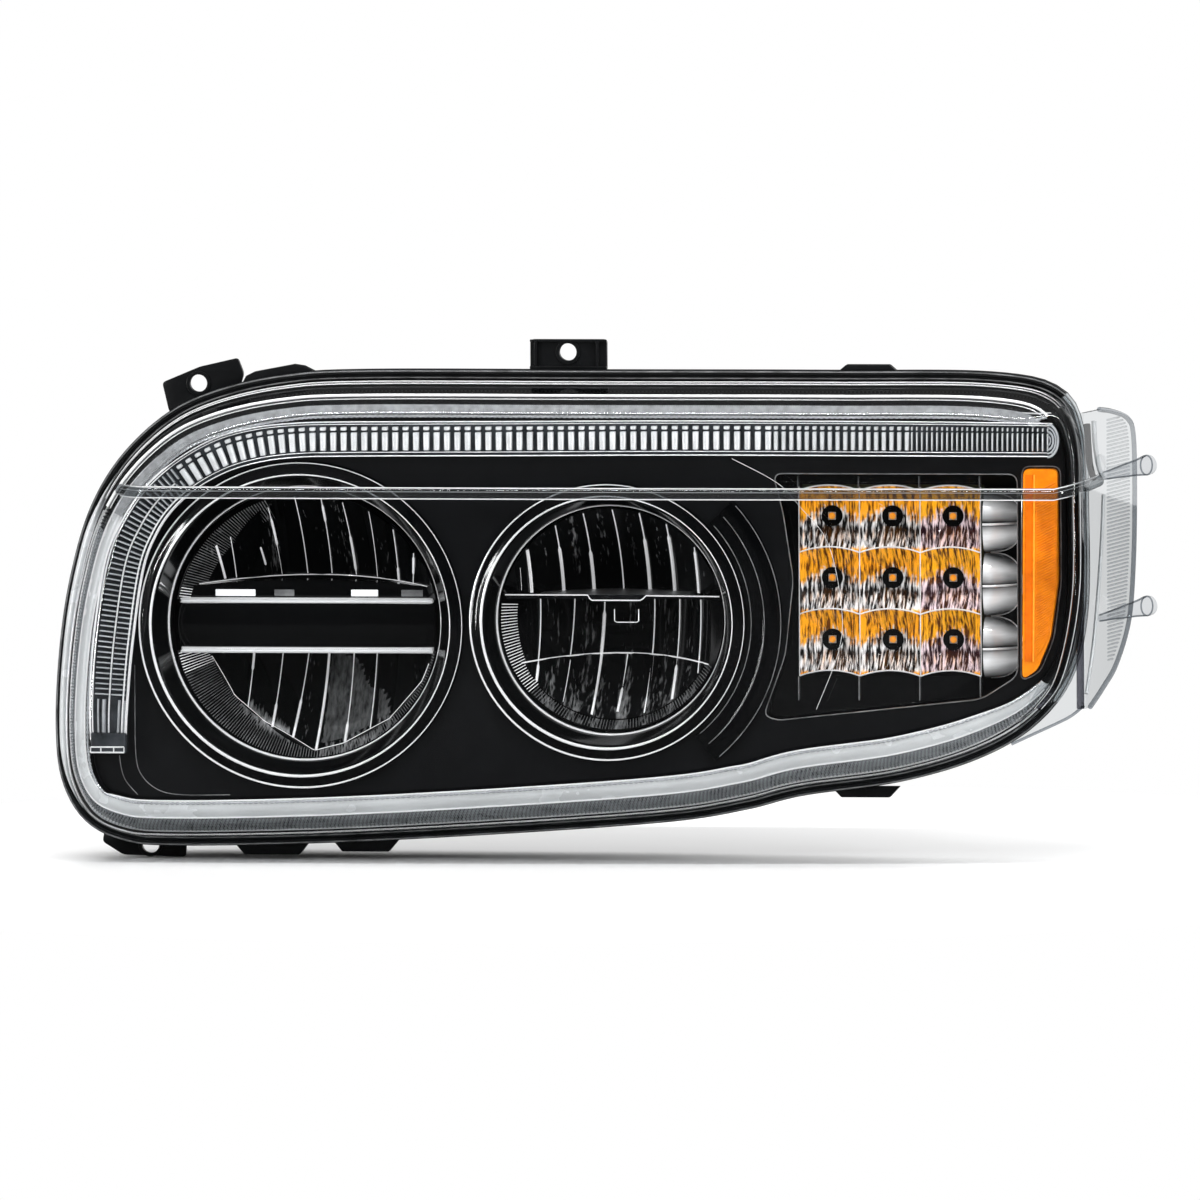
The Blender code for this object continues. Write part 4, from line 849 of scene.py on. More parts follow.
def make_rear_wall(line):
    loops = [[(x, z) for x, _, z in squeezed(line, REAR_WALL_Y, 0.0362, 0.0652, 0.0342, 0.0332)]]
    for bowl in (LOW, HIGH):
        loops.append(circle(bowl["x"], bowl["z"], bowl["cover"]))
        loops.append(circle(bowl["x"], bowl["z"] - bowl["lever"], 0.0074, 24))
    loops += [CONNECTOR_HOLE] + [circle(x, z, 0.0052, 20) for x, z in VENT_HOLES]
    plate("housing_rear_wall", loops, (REAR_WALL_Y - 0.0025, REAR_WALL_Y), "tub_black")
    seats = Shape()
    for bowl in (LOW, HIGH):
        near, far = bowl["cover"] + 0.0008, bowl["cover"] + 0.0046
        front, back = REAR_WALL_Y - 0.001, REAR_WALL_Y + 0.0002
        seats.turned([(near, front), (near, back), (far, back), (far, front)], bowl["x"], bowl["z"], steps=72)
    seats.make("cover_seats", "tub_black")


def make_mounting_tabs():
    for i, (corners, hole, y) in enumerate(TABS):
        loops = [rounded(corners, 0.0022, 4), circle(*hole, TAB_HOLE, 32)]
        plate(f"mounting_tab_{i}", loops, (y, y + 0.0045), "satin_black", bevel=0.0004)
        front, back = y - 0.0009, y + 0.002
        profile = [(BOSS, front), (TAB_HOLE, front), (TAB_HOLE, back), (BOSS, back)]
        Shape().turned(profile, *hole, steps=40).make(f"tab_boss_{i}", "satin_black", bevel=0.0003)
    gussets = Shape()
    for x in (-0.0405, -0.0035):
        gussets.prism([(x - 0.0009, 0.1375), (x + 0.0009, 0.1375), (x + 0.0009, 0.154), (x - 0.0009, 0.154)],
                      (0.0012, 0.004))
    gussets.block((-0.044, 0.002), (0.001, 0.0036), (0.1374, 0.1392))
    gussets.block((-0.044, 0.002), (0.0018, 0.0036), (0.1536, 0.155))
    gussets.make("tab_gussets", "satin_black", bevel=0.0003)


def make_flange_lugs():
    loops = [UPPER_LEFT_LUG]
    for left, right, outer, inner in WEDGE_LUGS:
        corners = [(left, inner), (left + 0.006, outer), (right - 0.006, outer), (right, inner)]
        loops.append(corners if outer > 0 else corners[::-1])
    lugs = Shape()
    for loop in loops:
        lugs.prism(loop, (-0.003, 0.0052))
    lugs.make("flange_lugs", "satin_black", bevel=0.0006)


def make_flange():
    rim = stations(0.005)
    flange = Shape().grid([ring(rim, *key) for key in FLANGE_RINGS], closed=True)
    flange.paint(lambda k: 1 if rim[k % len(rim)][2] > CLEAR_FROM else 0)
    flange.make("flange_front", ["satin_black", "skirt_clear"], angle=40)
    # Thin grey bars along the flange's outer and inner edges: painted edge highlights on the satin black.
    for name, y, depth in (("flange_edge_line", -0.0066, 0.001), ("flange_inner_line", -0.0046, 0.005)):
        bars(name, "smoke_chrome", [(ring(rim, y, depth), 0.00045)], closed=True)


def make_tub_ribs(line):
    """Stiffening ribs along the top and the bottom of the tub."""
    ribs = Shape()
    for middle in [-0.235 + i * 0.052 for i in range(9)]:
        for side in (1, -1):
            near = min((s for s in line if s[1] * side > 0), key=lambda s: abs(s[0] - middle))
            level = near[1] - side * 0.015
            ribs.add([(middle + across * 0.001, y, level + side * up) for across, y, up in RIB_CORNERS],
                     RIB_FACES)
    ribs.make("tub_ribs", "tub_black", bevel=0.0003)


def make_housing():
    line = stations(0.008)
    make_tub(line)
    make_rear_wall(line)
    make_mounting_tabs()
    make_flange_lugs()
    make_flange()
    make_tub_ribs(line)


# ---------------------------------------------------------------- trim between lens and bezel
# The keys of a band are rows of depth and the insets left, right, top and bottom.
SMOOTH_KEYS = ((-0.0355, 0.0168, 0.0064, 0.0208, 0.0196), (-0.0395, 0.0186, 0.0061, 0.0221, 0.0222),
               (-0.0425, 0.0205, 0.006, 0.0232, 0.0245), (-0.0432, 0.0214, 0.0064, 0.024, 0.0262),
               (-0.043, 0.0226, 0.0072, 0.025, 0.029), (-0.0415, 0.023, 0.0078, 0.0254, 0.0297))
RIBBED_KEYS = ((-0.0352, 0.0169, 0.0066, 0.0207, 0.0195), (-0.03, 0.0156, 0.007, 0.0193, 0.0176),
               (-0.025, 0.0142, 0.0073, 0.0181, 0.0158), (-0.02, 0.0128, 0.0078, 0.0168, 0.014),
               (-0.014, 0.0112, 0.0088, 0.015, 0.012), (-0.006, 0.0092, 0.0102, 0.0128, 0.0094))
BEAD_SIZES = (0.001, 0.0008, 0.0005, 0.0008)
FRINGE_KEYS = ((-0.044, 0.0186, 0), (-0.0446, 0.0194, 0), (-0.045, 0.021, 1), (-0.0452, 0.0226, 1),
               (-0.0453, 0.024, 1))
GLEAM_KEYS = ((0.0026, -0.0066), (0.0034, -0.0078), (0.005, -0.0086), (0.0064, -0.008), (0.007, -0.0066))


def not_outboard(station):
    return station[2] < 0.85


def on_top(station):
    return station[3] > 0.45


def make_smooth_band():
    line = stations(0.005)
    band = Shape().grid([ring(line, *key) for key in SMOOTH_KEYS], closed=True)

    # Silver below and round the inboard side, dark chrome along the top: the band is painted lighter below and
    # darker on top, a painted reflection; black at the outboard end.
    def tone(k):
        _, _, outward, upward = line[k % len(line)]
        return 1 if upward > 0.5 else (2 if outward > 0.85 else 0)

    band.paint(tone)
    made = band.make("trim_smooth_band", ["silver_white", "dark_chrome", "gloss_black"], wall=0.001, side=0,
                     angle=50)
    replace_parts(made, "perimeter_trim")


def make_ribbed_band():
    pushes = (-0.0006, 0.0, 0.0004, 0.0)
    fine = stations(0.0006)
    fine = fine[:len(fine) // len(pushes) * len(pushes)]
    band = Shape().grid(rippled(fine, RIBBED_KEYS, pushes, shift=2), closed=True)

    def tone(k):
        row, place = divmod(k, len(fine))
        if fine[place][3] > 0.35 or fine[place][2] > 0.85:
            return 2
        # One slope of every rib takes the darker chrome: painted shade.
        return 1 if (place + 2 * row) % len(pushes) == 2 else 0

    band.paint(tone).make("trim_ribbed_band", ["silver_rib", "smoke_chrome", "gloss_black"], angle=20)


def make_bead_row():
    beads = run_of(stations(0.0008), not_outboard)
    sizes = [BEAD_SIZES[i % 4] for i in range(len(beads))]
    row = ring(beads, -0.0441, 0.0249, 0.0082, 0.0256, 0.0284)
    bars("trim_bead_row", "silver_rib", [(row, sizes)], angle=30)


def make_top_fringe():
    """Fine upright teeth along the top of the lens."""
    top = run_of(stations(0.0007), on_top)
    rows = [[(x, y - 0.0004 * ((i + start) % 2), z) for i, (x, _, z) in enumerate(ring(top, y, depth))]
            for y, depth, start in FRINGE_KEYS]
    Shape().grid(rows).make("lens_top_fringe", "rib_grey", angle=20)


def make_trim_lines():
    line = stations(0.005)
    round_left = run_of(line, not_outboard)
    below = run_of(line, lambda s: not on_top(s) and not_outboard(s))
    above = run_of(line, on_top)
    lines = [
        (ring(round_left, -0.0362, 0.0165, 0.0058, 0.0205, 0.0193), 0.00055),
        (ring(round_left, -0.0436, 0.0232, 0.0076, 0.0252, 0.0298), 0.00055),
        (ring(below, -0.006, 0.009, 0.01, 0.0126, 0.009), 0.0006),
        (ring(below, -0.03, 0.0104, 0.004, 0.014, 0.0086), 0.00055),
    ]
    for y, depth, size in ((-0.011, 0.0068, 0.00035), (-0.016, 0.0078, 0.00035), (-0.044, 0.013, 0.0009),
                           (-0.045, 0.0152, 0.00025)):
        lines.append((ring(above, y, depth), size))
    bars("trim_lines", "edge_chrome", lines)


def make_skirt_gleam():
    """A bright sickle on the lens skirt at the inboard side, tapering to both ends."""
    side = run_of(stations(0.003), lambda s: s[2] < -0.8)
    rows = []
    for depth, y in GLEAM_KEYS:
        row = []
        for i, station in enumerate(side):
            taper = min(1.0, (i + 0.3) / 14, (len(side) - 0.7 - i) / 14)
            x, z = inset(station, 0.0048 + (depth - 0.0048) * taper)
            row.append((x, y, z))
        rows.append(row)
    Shape().grid(rows).make("lens_skirt_gleam", "silver_white", angle=60)


def make_trim():
    make_smooth_band()
    make_ribbed_band()
    make_bead_row()
    make_top_fringe()
    make_trim_lines()
    make_skirt_gleam()


# ---------------------------------------------------------------- bezel
SKIRT_RINGS = (
    (0.0064, 0.0262, 0.016, 0.0308, 0.0292), (-0.034, 0.0262, 0.0092, 0.0308, 0.0292),
    (-0.0366, 0.0266, 0.0094, 0.0312, 0.0296), (-0.0377, 0.0276, 0.0098, 0.0322, 0.0306),
    (BEZEL_Y, 0.0297, 0.0109, 0.0342, 0.0323),
)
STEP_PROFILE = (
    (0.085, 0.0004), (0.0856, -0.0014), (0.0866, -0.002), (0.0925, -0.0022), (0.0936, -0.003),
    (0.0946, -0.0034), (0.103, -0.0036), (0.1042, -0.003), (0.1048, 0.0004),
)
CONTOURS = (
    [(-282, -40), (-282, -58), (-281.6, -94), (-277.4, -107), (-267, -115.2), (-252, -117.6), (-225, -117.4)],
    [(-291.5, -94), (-290.4, -102), (-287.6, -109.6), (-280.6, -117.6)],
)


def make_bezel_panel():
    line = stations(0.006)
    panel = [inset(s, 0.0296, 0.0108, 0.0341, 0.0322) for s in line]
    holes = [circle(c["x"], c["z"], c["radii"][0] - 0.004, 120) for c in (LOW_COLLAR, HIGH_COLLAR)]
    loops = [panel, *holes, rounded(SIGNAL_OPENING, 0.006), marker_opening(0.0009)]
    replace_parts(plate("bezel_panel", loops, (BEZEL_Y, BEZEL_Y + 0.0018), "panel_black"), "bezel")
    skirt = Shape().grid([ring(line, *key) for key in SKIRT_RINGS], closed=True)
    skirt.make("bezel_skirt", "panel_black", wall=0.0014, angle=50)


def make_collar(name, collar):
    """A raised round collar and its three bright edges, which are thickest where they catch the light."""
    x, z = collar["x"], collar["z"]
    foot, crest, throat = collar["radii"]
    profile = [
        (foot + 0.001, 0.0006), (foot + 0.001, -0.0022), (foot + 0.0004, -0.0036), (foot - 0.0008, -0.0044),
        (foot - 0.0024, -0.0048), (foot - 0.0045, -0.0058), (crest + 0.0012, -0.0066),
        (crest + 0.0002, -0.0064), (crest - 0.0007, -0.0054), (crest - 0.0016, -0.003),
        (throat + 0.0022, 0.012), (throat + 0.0006, 0.015), (throat + 0.0002, 0.0164),
        (throat + 0.0026, 0.0164), (crest + 0.001, -0.003), (foot - 0.004, 0.0006),
    ]
    shape = Shape().turned([(radius, BEZEL_Y + y) for radius, y in profile], x, z, steps=160)
    shape.make(f"{name}_collar", "gloss_black")
    rings = []
    for radius, y, size in ((foot - 0.0002, BEZEL_Y - 0.0042, 0.0005),
                            (crest + 0.0004, BEZEL_Y - 0.0066, 0.0007),
                            (throat + 0.0008, BEZEL_Y + 0.015, 0.00075)):
        sizes = []
        for t in turns(160):
            upper_left, lower = 0.5 - 0.5 * cos(t - radians(20)), max(0.0, -sin(t))
            sizes.append(size * (0.45 + 0.75 * upper_left**1.5 + 0.35 * lower**3))
        rings.append(([(x + radius * cos(t), y, z + radius * sin(t)) for t in turns(160)], sizes))
    bars(f"{name}_collar_rings", "edge_chrome", rings, sides=8, closed=True)


def make_bezel_steps():
    """Low terraces round the outboard side of the high beam's collar."""
    x, z = HIGH_COLLAR["x"], HIGH_COLLAR["z"]
    profile = [(radius, BEZEL_Y + y) for radius, y in STEP_PROFILE]
    Shape().turned(profile, x, z, 60, start=-52, sweep=96).make("bezel_steps", "gloss_black", angle=40)
    arc = [radians(-50 + i * 2) for i in range(47)]
    # Thin grey bars along the step edges and the panel's lower contour: painted edge highlights.
    bars("bezel_step_lines", "smoke_chrome",
         [([(x + radius * cos(t), BEZEL_Y - rise, z + radius * sin(t)) for t in arc], 0.0003)
          for radius, rise in ((0.0861, 0.002), (0.0941, 0.0034), (0.104, 0.0034))])
    bars("bezel_contours", "smoke_chrome",
         [(smooth_line(spots(path, BEZEL_Y - 0.0002), 8), 0.0003) for path in CONTOURS])


def make_bezel():
    make_bezel_panel()
    make_collar("low", LOW_COLLAR)
    make_collar("high", HIGH_COLLAR)
    make_bezel_steps()


# ---------------------------------------------------------------- light guide
UPRIGHT_FROM = 0.62
TAIL_TOP = -0.058
LEVEL_SPANS = ((-0.66, 0.42), (0.52, 0.74))
UPRIGHT_SPANS = ((-0.8, -0.06), (0.06, 0.8))
# The keys are rows of share across the guide and depth; RAILS has share across, radius and depth.
BACK_KEYS = ((-1.0, -0.0384), (-1.0, -0.0425), (1.0, -0.0425), (1.0, -0.0384), (-1.0, -0.0384))
COVER_KEYS = ((-1.0, -0.048), (-0.97, -0.0497), (0.97, -0.0497), (1.0, -0.048))
RAILS = ((1.04, 0.0006, -0.0472), (0.9, 0.0004, -0.0474), (-0.74, 0.0005, -0.0474), (-0.96, 0.0008, -0.047))


def guide_stations(spacing):
    """Evenly spaced places on the guide's middle line: x, z, the outward direction and the half width."""
    line = resampled(smooth_line(GUIDE_LINE, 10), spacing)
    made = []
    for i, point in enumerate(line):
        along = line[min(i + 1, len(line) - 1)] - line[max(i - 1, 0)]
        length = hypot(along.x, along.y)
        made.append((point.x, point.y, along.y / length, -along.x / length, point.z))
    return made


def guide_point(station, across, y):
    x, z, nx, nz, half = station
    return (x + nx * half * across, y, z + nz * half * across)


def is_upright(station):
    return abs(station[2]) > UPRIGHT_FROM


def add_rung(shape, station, span, offset, half, tone):
    """A rounded bar across the guide, lower and narrower at its two ends."""
    along = Vector((station[3], 0, -station[2]))
    low, high = span
    rows = []
    for across, width, top in ((low, half * 0.8, -0.0468), (low + 0.04, half, -0.0478),
                               (high - 0.04, half, -0.0478), (high, half * 0.8, -0.0468)):
        middle = Vector(guide_point(station, across, 0)) + along * offset
        profile = ((-1.0, -0.0424), (-1.0, top + 0.0012), (-0.62, top + 0.0002), (0.0, top),
                   (0.62, top + 0.0002), (1.0, top + 0.0012), (1.0, -0.0424))
        rows.append([(middle.x + along.x * width * k, y, middle.z + along.z * width * k) for k, y in profile])
    shape.grid(rows, tone)
    for row in (rows[0], rows[-1]):
        shape.add(row, [tuple(range(len(row)))], tone)


def make_guide_rungs():
    """The guide's light bars, finer and closer together towards its outboard end."""
    fine = guide_stations(0.0001)
    rungs = Shape()
    place = 30
    while place < len(fine) - 30:
        station = fine[place]
        pitch, half = next(row[1:] for row in ((0.105, 62, 0.00165), (0.19, 46, 0.00115), (1, 30, 0.0004))
                           if station[0] < row[0])
        place += pitch
        if station[1] <= TAIL_TOP:
            continue
        if is_upright(station):
            for span in UPRIGHT_SPANS:
                for offset in (-0.0016, 0.0016):
                    add_rung(rungs, station, span, offset, 0.00045, 1)
        else:
            for span in LEVEL_SPANS:
                add_rung(rungs, station, span, 0.0, half, 0)
    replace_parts(rungs.make("guide_rungs", ["guide_bar", "guide_dim"], angle=50), "light_guide")


def make_guide_channel(line):
    for name, material, keys in (("guide_back", "guide_base", BACK_KEYS),
                                 ("guide_cover", "lens_clear", COVER_KEYS)):
        Shape().grid([[guide_point(s, *key) for s in line] for key in keys]).make(name, material, angle=40)
    bars("guide_rails", "edge_chrome",
         [([guide_point(s, across, y) for s in line], [size * (1.0 if is_upright(s) else 0.45) for s in line])
          for across, size, y in RAILS], sides=7)
    middle = [guide_point(s, 0.0, -0.047) for s in line if is_upright(s)]
    bars("guide_middle_line", "guide_bar", [(middle, 0.0005)])
    tail = [s for s in line if s[1] < -0.056 and s[0] < 0]
    bars("guide_tail_bands", "guide_dim",
         [([guide_point(s, across, -0.045) for s in tail], size)
          for across, size in ((-0.78, 0.001), (-0.52, 0.0008), (0.3, 0.0012), (0.62, 0.0006))], sides=8)


def make_guide_foot(station):
    corners = [(guide_point(station, across, 0), up) for across, up in
               ((-1.05, 0.0045), (-1.05, -0.0078), (1.0, -0.0078), (1.0, 0.0045))]
    block = Shape().prism([(point[0], point[2] + up) for point, up in corners], (-0.0515, -0.0375))
    block.make("guide_foot", "guide_base", bevel=0.0008)
    x, z, half = station[0], station[1], station[4]
    levels = (-0.0072, -0.004)
    places = (-1.0, -0.5, 0.0, 0.5, 0.95)
    lines = [([(x + a * half, -0.0519, z + up) for a in places], 0.0005) for up in levels]
    lines += [([(x + a * half, -0.0518, z + up) for up in levels], 0.0004) for a in (-1.0, -0.4, 0.35, 0.95)]
    bars("guide_foot_lines", "guide_bar", lines)


def make_guide_end(station):
    """Half rings round the outboard end of the guide."""
    x, z, half = station[0] - 0.003, station[1], station[4]
    arc = [radians(a) for a in range(-90, 91, 10)]
    bars("guide_end_rings", "guide_dim",
         [([(x + 0.65 * half * share * cos(a), -0.0478, z + half * share * sin(a)) for a in arc], size)
          for share, size in ((1.0, 0.0007), (0.78, 0.0005), (0.55, 0.0006), (0.3, 0.0004))])


def make_light_guide():
    line = guide_stations(0.004)
    make_guide_channel(line)
    make_guide_rungs()
    make_guide_foot(line[-1])
    make_guide_end(line[0])


# ---------------------------------------------------------------- beams
BOWL_EDGE_Y, BOWL_DEPTH = -0.016, 0.063
FACET_BACK = 0.0002
BOWL_TONES = ["bowl_mirror", "smoke_chrome", "seam_chrome", "bowl_satin"]
# The seams are rows of x, lowest z, highest z, lean, thick from z, thick to z, all from the bowl's axis; the
# thick part is where the painted highlight is brightest.
LOW_UPPER_SEAMS = (
    (-0.0525, 0.0262, 0.047, -0.14, 0.0262, 0.047), (-0.0465, 0.0262, 0.052, -0.03, 0, 0),
    (-0.029, 0.0268, 0.048, -0.16, 0.033, 0.045), (-0.0212, 0.0272, 0.07, -0.06, 0.046, 0.062),
    (-0.0062, 0.0276, 0.0765, -0.02, 0, 0), (0.0085, 0.0276, 0.076, 0, 0.06, 0.07),
    (0.0238, 0.0272, 0.073, -0.05, 0.03, 0.052), (0.0376, 0.0265, 0.068, 0, 0, 0),
    (0.052, 0.0255, 0.057, 0, 0.0255, 0.033), (0.062, 0.0245, 0.043, 0.12, 0.03, 0.04),
)
LOW_LOWER_SEAMS = (
    (-0.0385, -0.05, -0.0158, 0.03, -0.03, -0.0158), (-0.0234, -0.062, -0.0158, 0.05, -0.062, -0.05),
    (-0.0105, -0.068, -0.0158, 0.09, -0.068, -0.048), (0.0045, -0.0745, -0.0158, 0.03, -0.0745, -0.0158),
    (0.0216, -0.07, -0.0158, 0, -0.07, -0.06), (0.0366, -0.062, -0.0158, 0, 0, 0),
)
HIGH_UPPER_SEAMS = ((-0.0425, 0.016, 0.045, 0.01, 0, 0), (-0.056, 0.016, 0.03, 0.02, 0, 0),
                    (0.003, 0.016, 0.04, -0.01, 0.025, 0.04), (0.0205, 0.03, 0.062, 0.01, 0, 0))
HIGH_LOWER_SEAMS = (
    (-0.047, -0.038, 0.0098, 0.01, -0.038, -0.03), (-0.0315, -0.051, 0.0098, 0.055, -0.051, -0.026),
    (-0.014, -0.0585, 0.0098, 0.04, -0.0585, 0.0), (0.0178, -0.0575, 0.0098, 0.02, -0.0575, -0.026),
    (0.0345, -0.049, 0.0098, 0.02, -0.049, -0.03), (0.05, -0.033, 0.0098, 0.01, 0, 0),
    (0.001, -0.057, -0.025, 0.06, -0.057, -0.045), (0.0085, -0.059, -0.025, 0.03, 0, 0),
    (-0.022, -0.054, -0.038, 0.02, 0, 0), (0.026, -0.054, -0.038, 0.02, 0, 0),
)
HIGH_UPPER_THICK = ((-0.0509, 0.014, 0.045), (-0.0341, 0.014, 0.04), (-0.0173, 0.014, 0.038), (0.0001, 0, 0),
                    (0.0163, 0.014, 0.045), (0.0325, 0.014, 0.048), (0.0493, 0.014, 0.04))
HIGH_UPPER_GLINTS = ((-0.025, 0.004, 0.75), (-0.0085, 0.003, 0.65), (0.009, 0.003, 0.45),
                     (-0.042, 0.003, 0.4), (0.0245, 0.003, 0.5), (0.04, 0.003, 0.35))
HIGH_LOWER_GLINTS = ((-0.038, 0.004, 0.35), (-0.02, 0.005, 0.4), (0.004, 0.005, 0.3),
                     (0.027, 0.004, 0.4), (0.043, 0.004, 0.35))
LOW_UPPER_BOUNDS = (-0.0615, -0.048, -0.0252, -0.018, -0.005, 0.0085, 0.023, 0.0365, 0.0515, 0.065, 0.0735)
LOW_LOWER_BOUNDS = (-0.06, -0.039, -0.0234, -0.0084, 0.006, 0.0216, 0.0366, 0.054, 0.07)
HIGH_UPPER_BOUNDS = (-0.06, -0.0509, -0.0341, -0.0173, 0.0001, 0.0163, 0.0325, 0.0493, 0.061)
HIGH_LOWER_BOUNDS = (-0.056, -0.0461, -0.0287, -0.0119, 0.0193, 0.0355, 0.0505, 0.0595)
HIGH_FOLD_BOUNDS = (-0.054, -0.0461, -0.0287, -0.0119, 0.004, 0.0193, 0.0355, 0.0505, 0.055)
LOW_V = [(-0.064, -0.0165), (-0.06, -0.02), (-0.0462, -0.0438), (-0.0282, -0.0588), (0.0036, -0.0752),
         (0.021, -0.0708), (0.0486, -0.056), (0.069, -0.033), (0.0755, -0.0165)]
LOW_WINDOWS = ((-0.0558, -0.0318, 0), (0.0258, 0.042, 0), (-0.0204, -0.0084, 1), (0.056, 0.069, 1))
# Painted reflection lines on the low bar: x, lowest z, highest z and bend.
LOW_BAR_REFLECTIONS = ((-0.0665, -0.0105, 0.0105, 0.003), (-0.061, -0.011, 0.0095, 0.0035),
               (-0.0705, 0.002, 0.01, 0.001))
HIGH_DIVIDER = ((-0.0645, 0.0139), (-0.015, 0.0139), (-0.0138, 0.0118), (-0.0125, 0.0108), (0.0165, 0.0108),
                (0.0182, 0.0118), (0.02, 0.0136), (0.064, 0.0132))
HIGH_CLIP = ((0.0005, 0.0052), (0.0005, -0.0018), (0.0018, -0.0026), (0.0138, -0.0026), (0.015, -0.0018),
             (0.015, 0.0052))
HIGH_SHELF = ((-0.064, 0.0116), (-0.0135, 0.0116), (-0.0125, 0.0112), (0.0165, 0.0112), (0.02, 0.0116),
              (0.064, 0.0116), (0.064, 0.014), (-0.064, 0.014))


def on_bowl(bowl, x, z, back=0.0, lift=0.0):
    """The bowl's surface at a place measured from its axis."""
    y = BOWL_EDGE_Y + BOWL_DEPTH * (1 - (hypot(x, z) / bowl["rim"]) ** 2) + back - lift
    return (bowl["x"] + x, y, bowl["z"] + z)


def beside(bowl, loop):
    return [(bowl["x"] + x, bowl["z"] + z) for x, z in loop]


def about(bowl, painted_light):
    """A vertex function for painted light that is given over places measured from the bowl's axis."""
    return lambda x, y, z: painted_light(x - bowl["x"], z - bowl["z"])


def arc_height(radius, x, least=1e-6):
    return sqrt(max(least, radius**2 - x * x))


def facets(shape, bowl, bounds, low_of, high_of, bulge=0.0011, back=FACET_BACK, rows=16, columns=7,
           tone_of=None):
    """Upright cylindrical facets between the bounds, each a little proud of the bowl in its middle."""
    first = len(shape.tones)
    for i, (left, right) in enumerate(zip(bounds, bounds[1:])):
        step = ((i * 5) % 3 - 1) * 0.0006
        grid = []
        for share in [c / columns for c in range(columns + 1)]:
            x = left + (right - left) * share
            low, high = low_of(x), high_of(x)
            swell = bulge * (1 - (2 * share - 1) ** 2) + step
            levels = [low + (high - low) * r / rows for r in range(rows + 1)]
            grid.append([on_bowl(bowl, x, z, back, swell) for z in levels])
        shape.grid(grid)
    if tone_of:
        for k in range(first, len(shape.tones)):
            corners = [shape.vertices[v] for v in shape.faces[k]]
            shape.tones[k] = tone_of(sum(p[0] for p in corners) / 4 - bowl["x"],
                                     sum(p[2] for p in corners) / 4 - bowl["z"])


def seams(bowl, places, size=0.0003):
    """Thin bright bars on a bowl, painted highlights along the facet edges, 2.6 times as thick over a part of
    their height where the painted highlight is brightest.
    """
    made = []
    for x, low, high, lean, thick_low, thick_high in places:
        levels = [low + (high - low) * k / 24 for k in range(25)]
        points = [on_bowl(bowl, x + lean * (z - low), z, lift=0.0006) for z in levels]
        made.append((points, [size * (2.6 if thick_low <= z <= thick_high else 1.0) for z in levels]))
    return made


def edge_seam(bowl, height_of, start, span, steps, lift, size):
    """A bright bar along the lower or upper edge of a row of facets, a painted highlight."""
    places = [start + span * k / steps for k in range(steps + 1)]
    return ([on_bowl(bowl, x, height_of(x), lift=lift) for x in places], size)


def fluted_band(shape, bowl, start, end, inner_of, outer, light, pitch=1.25):
    """Radial flutes between an inner curve and the rim; one slope of each flute has the tone light, a painted
    highlight.
    """
    number = int((end - start) / pitch) * 4
    rows = []
    for i in range(number + 1):
        angle = start + (end - start) * i / number
        across, up = cos(radians(angle)), sin(radians(angle))
        inner = inner_of(angle)
        push = 0.0006 * (0.5 - 0.5 * cos(pi * i / 2))
        radii = [inner + (outer - inner) * k / 4 for k in range(5)]
        rows.append([on_bowl(bowl, r * across, r * up, -0.0004, push) for r in radii])
    first = len(shape.tones)
    shape.grid(rows)
    # Every fourth face is the lit slope: painted highlight.
    for k in range(first, len(shape.tones)):
        if (k - first) // 4 % 4 == 1:
            shape.tones[k] = light


def make_bowl_shell(bowl, name, low, high, node_name):
    """The smooth shell behind the facets, between two heights; it stands for the CAD reflector."""
    rows = []
    for z in [low + (high - low) * i / 48 for i in range(49)]:
        half = arc_height(bowl["rim"] - 0.0002, z, 1e-7)
        rows.append([on_bowl(bowl, -half + 2 * half * k / 40, z, 0.0011) for k in range(41)])
    shell = Shape().grid(rows).make(name, "gloss_black", bowl["name"] + "_beam", wall=0.0012, side=0)
    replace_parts(shell, node_name)


def low_arch(x):
    return 0.0268 - 0.0034 * (x / 0.07) ** 2


def low_top(x):
    reach = 0.0782 - 0.012 * min(1.0, max(0.0, (-0.018 - x) / 0.03))
    return max(low_arch(x) + 0.0005, arc_height(reach, x))


# Painted light on the upper facets: dark overall, with two painted highlight streaks and a rippled painted
# sheen at mid height.
def low_upper_painted_light(x, z):
    reflection_streak = 0.5 * peak(x - 0.019 - 0.1 * (0.05 - z), 0, 0.004) + 0.35 * peak(x, -0.024, 0.005)
    return -0.42 + reflection_streak + 0.25 * max(0.0, sin(x * 180)) * peak(z, 0.04, 0.022)


def make_low_upper():
    shape = Shape()
    facets(shape, LOW, LOW_UPPER_BOUNDS, low_arch, low_top)
    fluted_band(shape, LOW, 108, 163, lambda a: 0.0662, 0.0785, light=1)
    fluted_band(shape, LOW, 163, 168, lambda a: 0.0662, 0.0785, light=2)
    shape.make("low_upper_facets", BOWL_TONES[:3], "low_beam", angle=22,
               values={"painted_light": about(LOW, low_upper_painted_light)})
    edge = edge_seam(LOW, low_arch, -0.066, 0.138, 40, 0.0012, 0.0003)
    bars("low_upper_seams", "seam_chrome", seams(LOW, LOW_UPPER_SEAMS) + [edge], "low_beam")


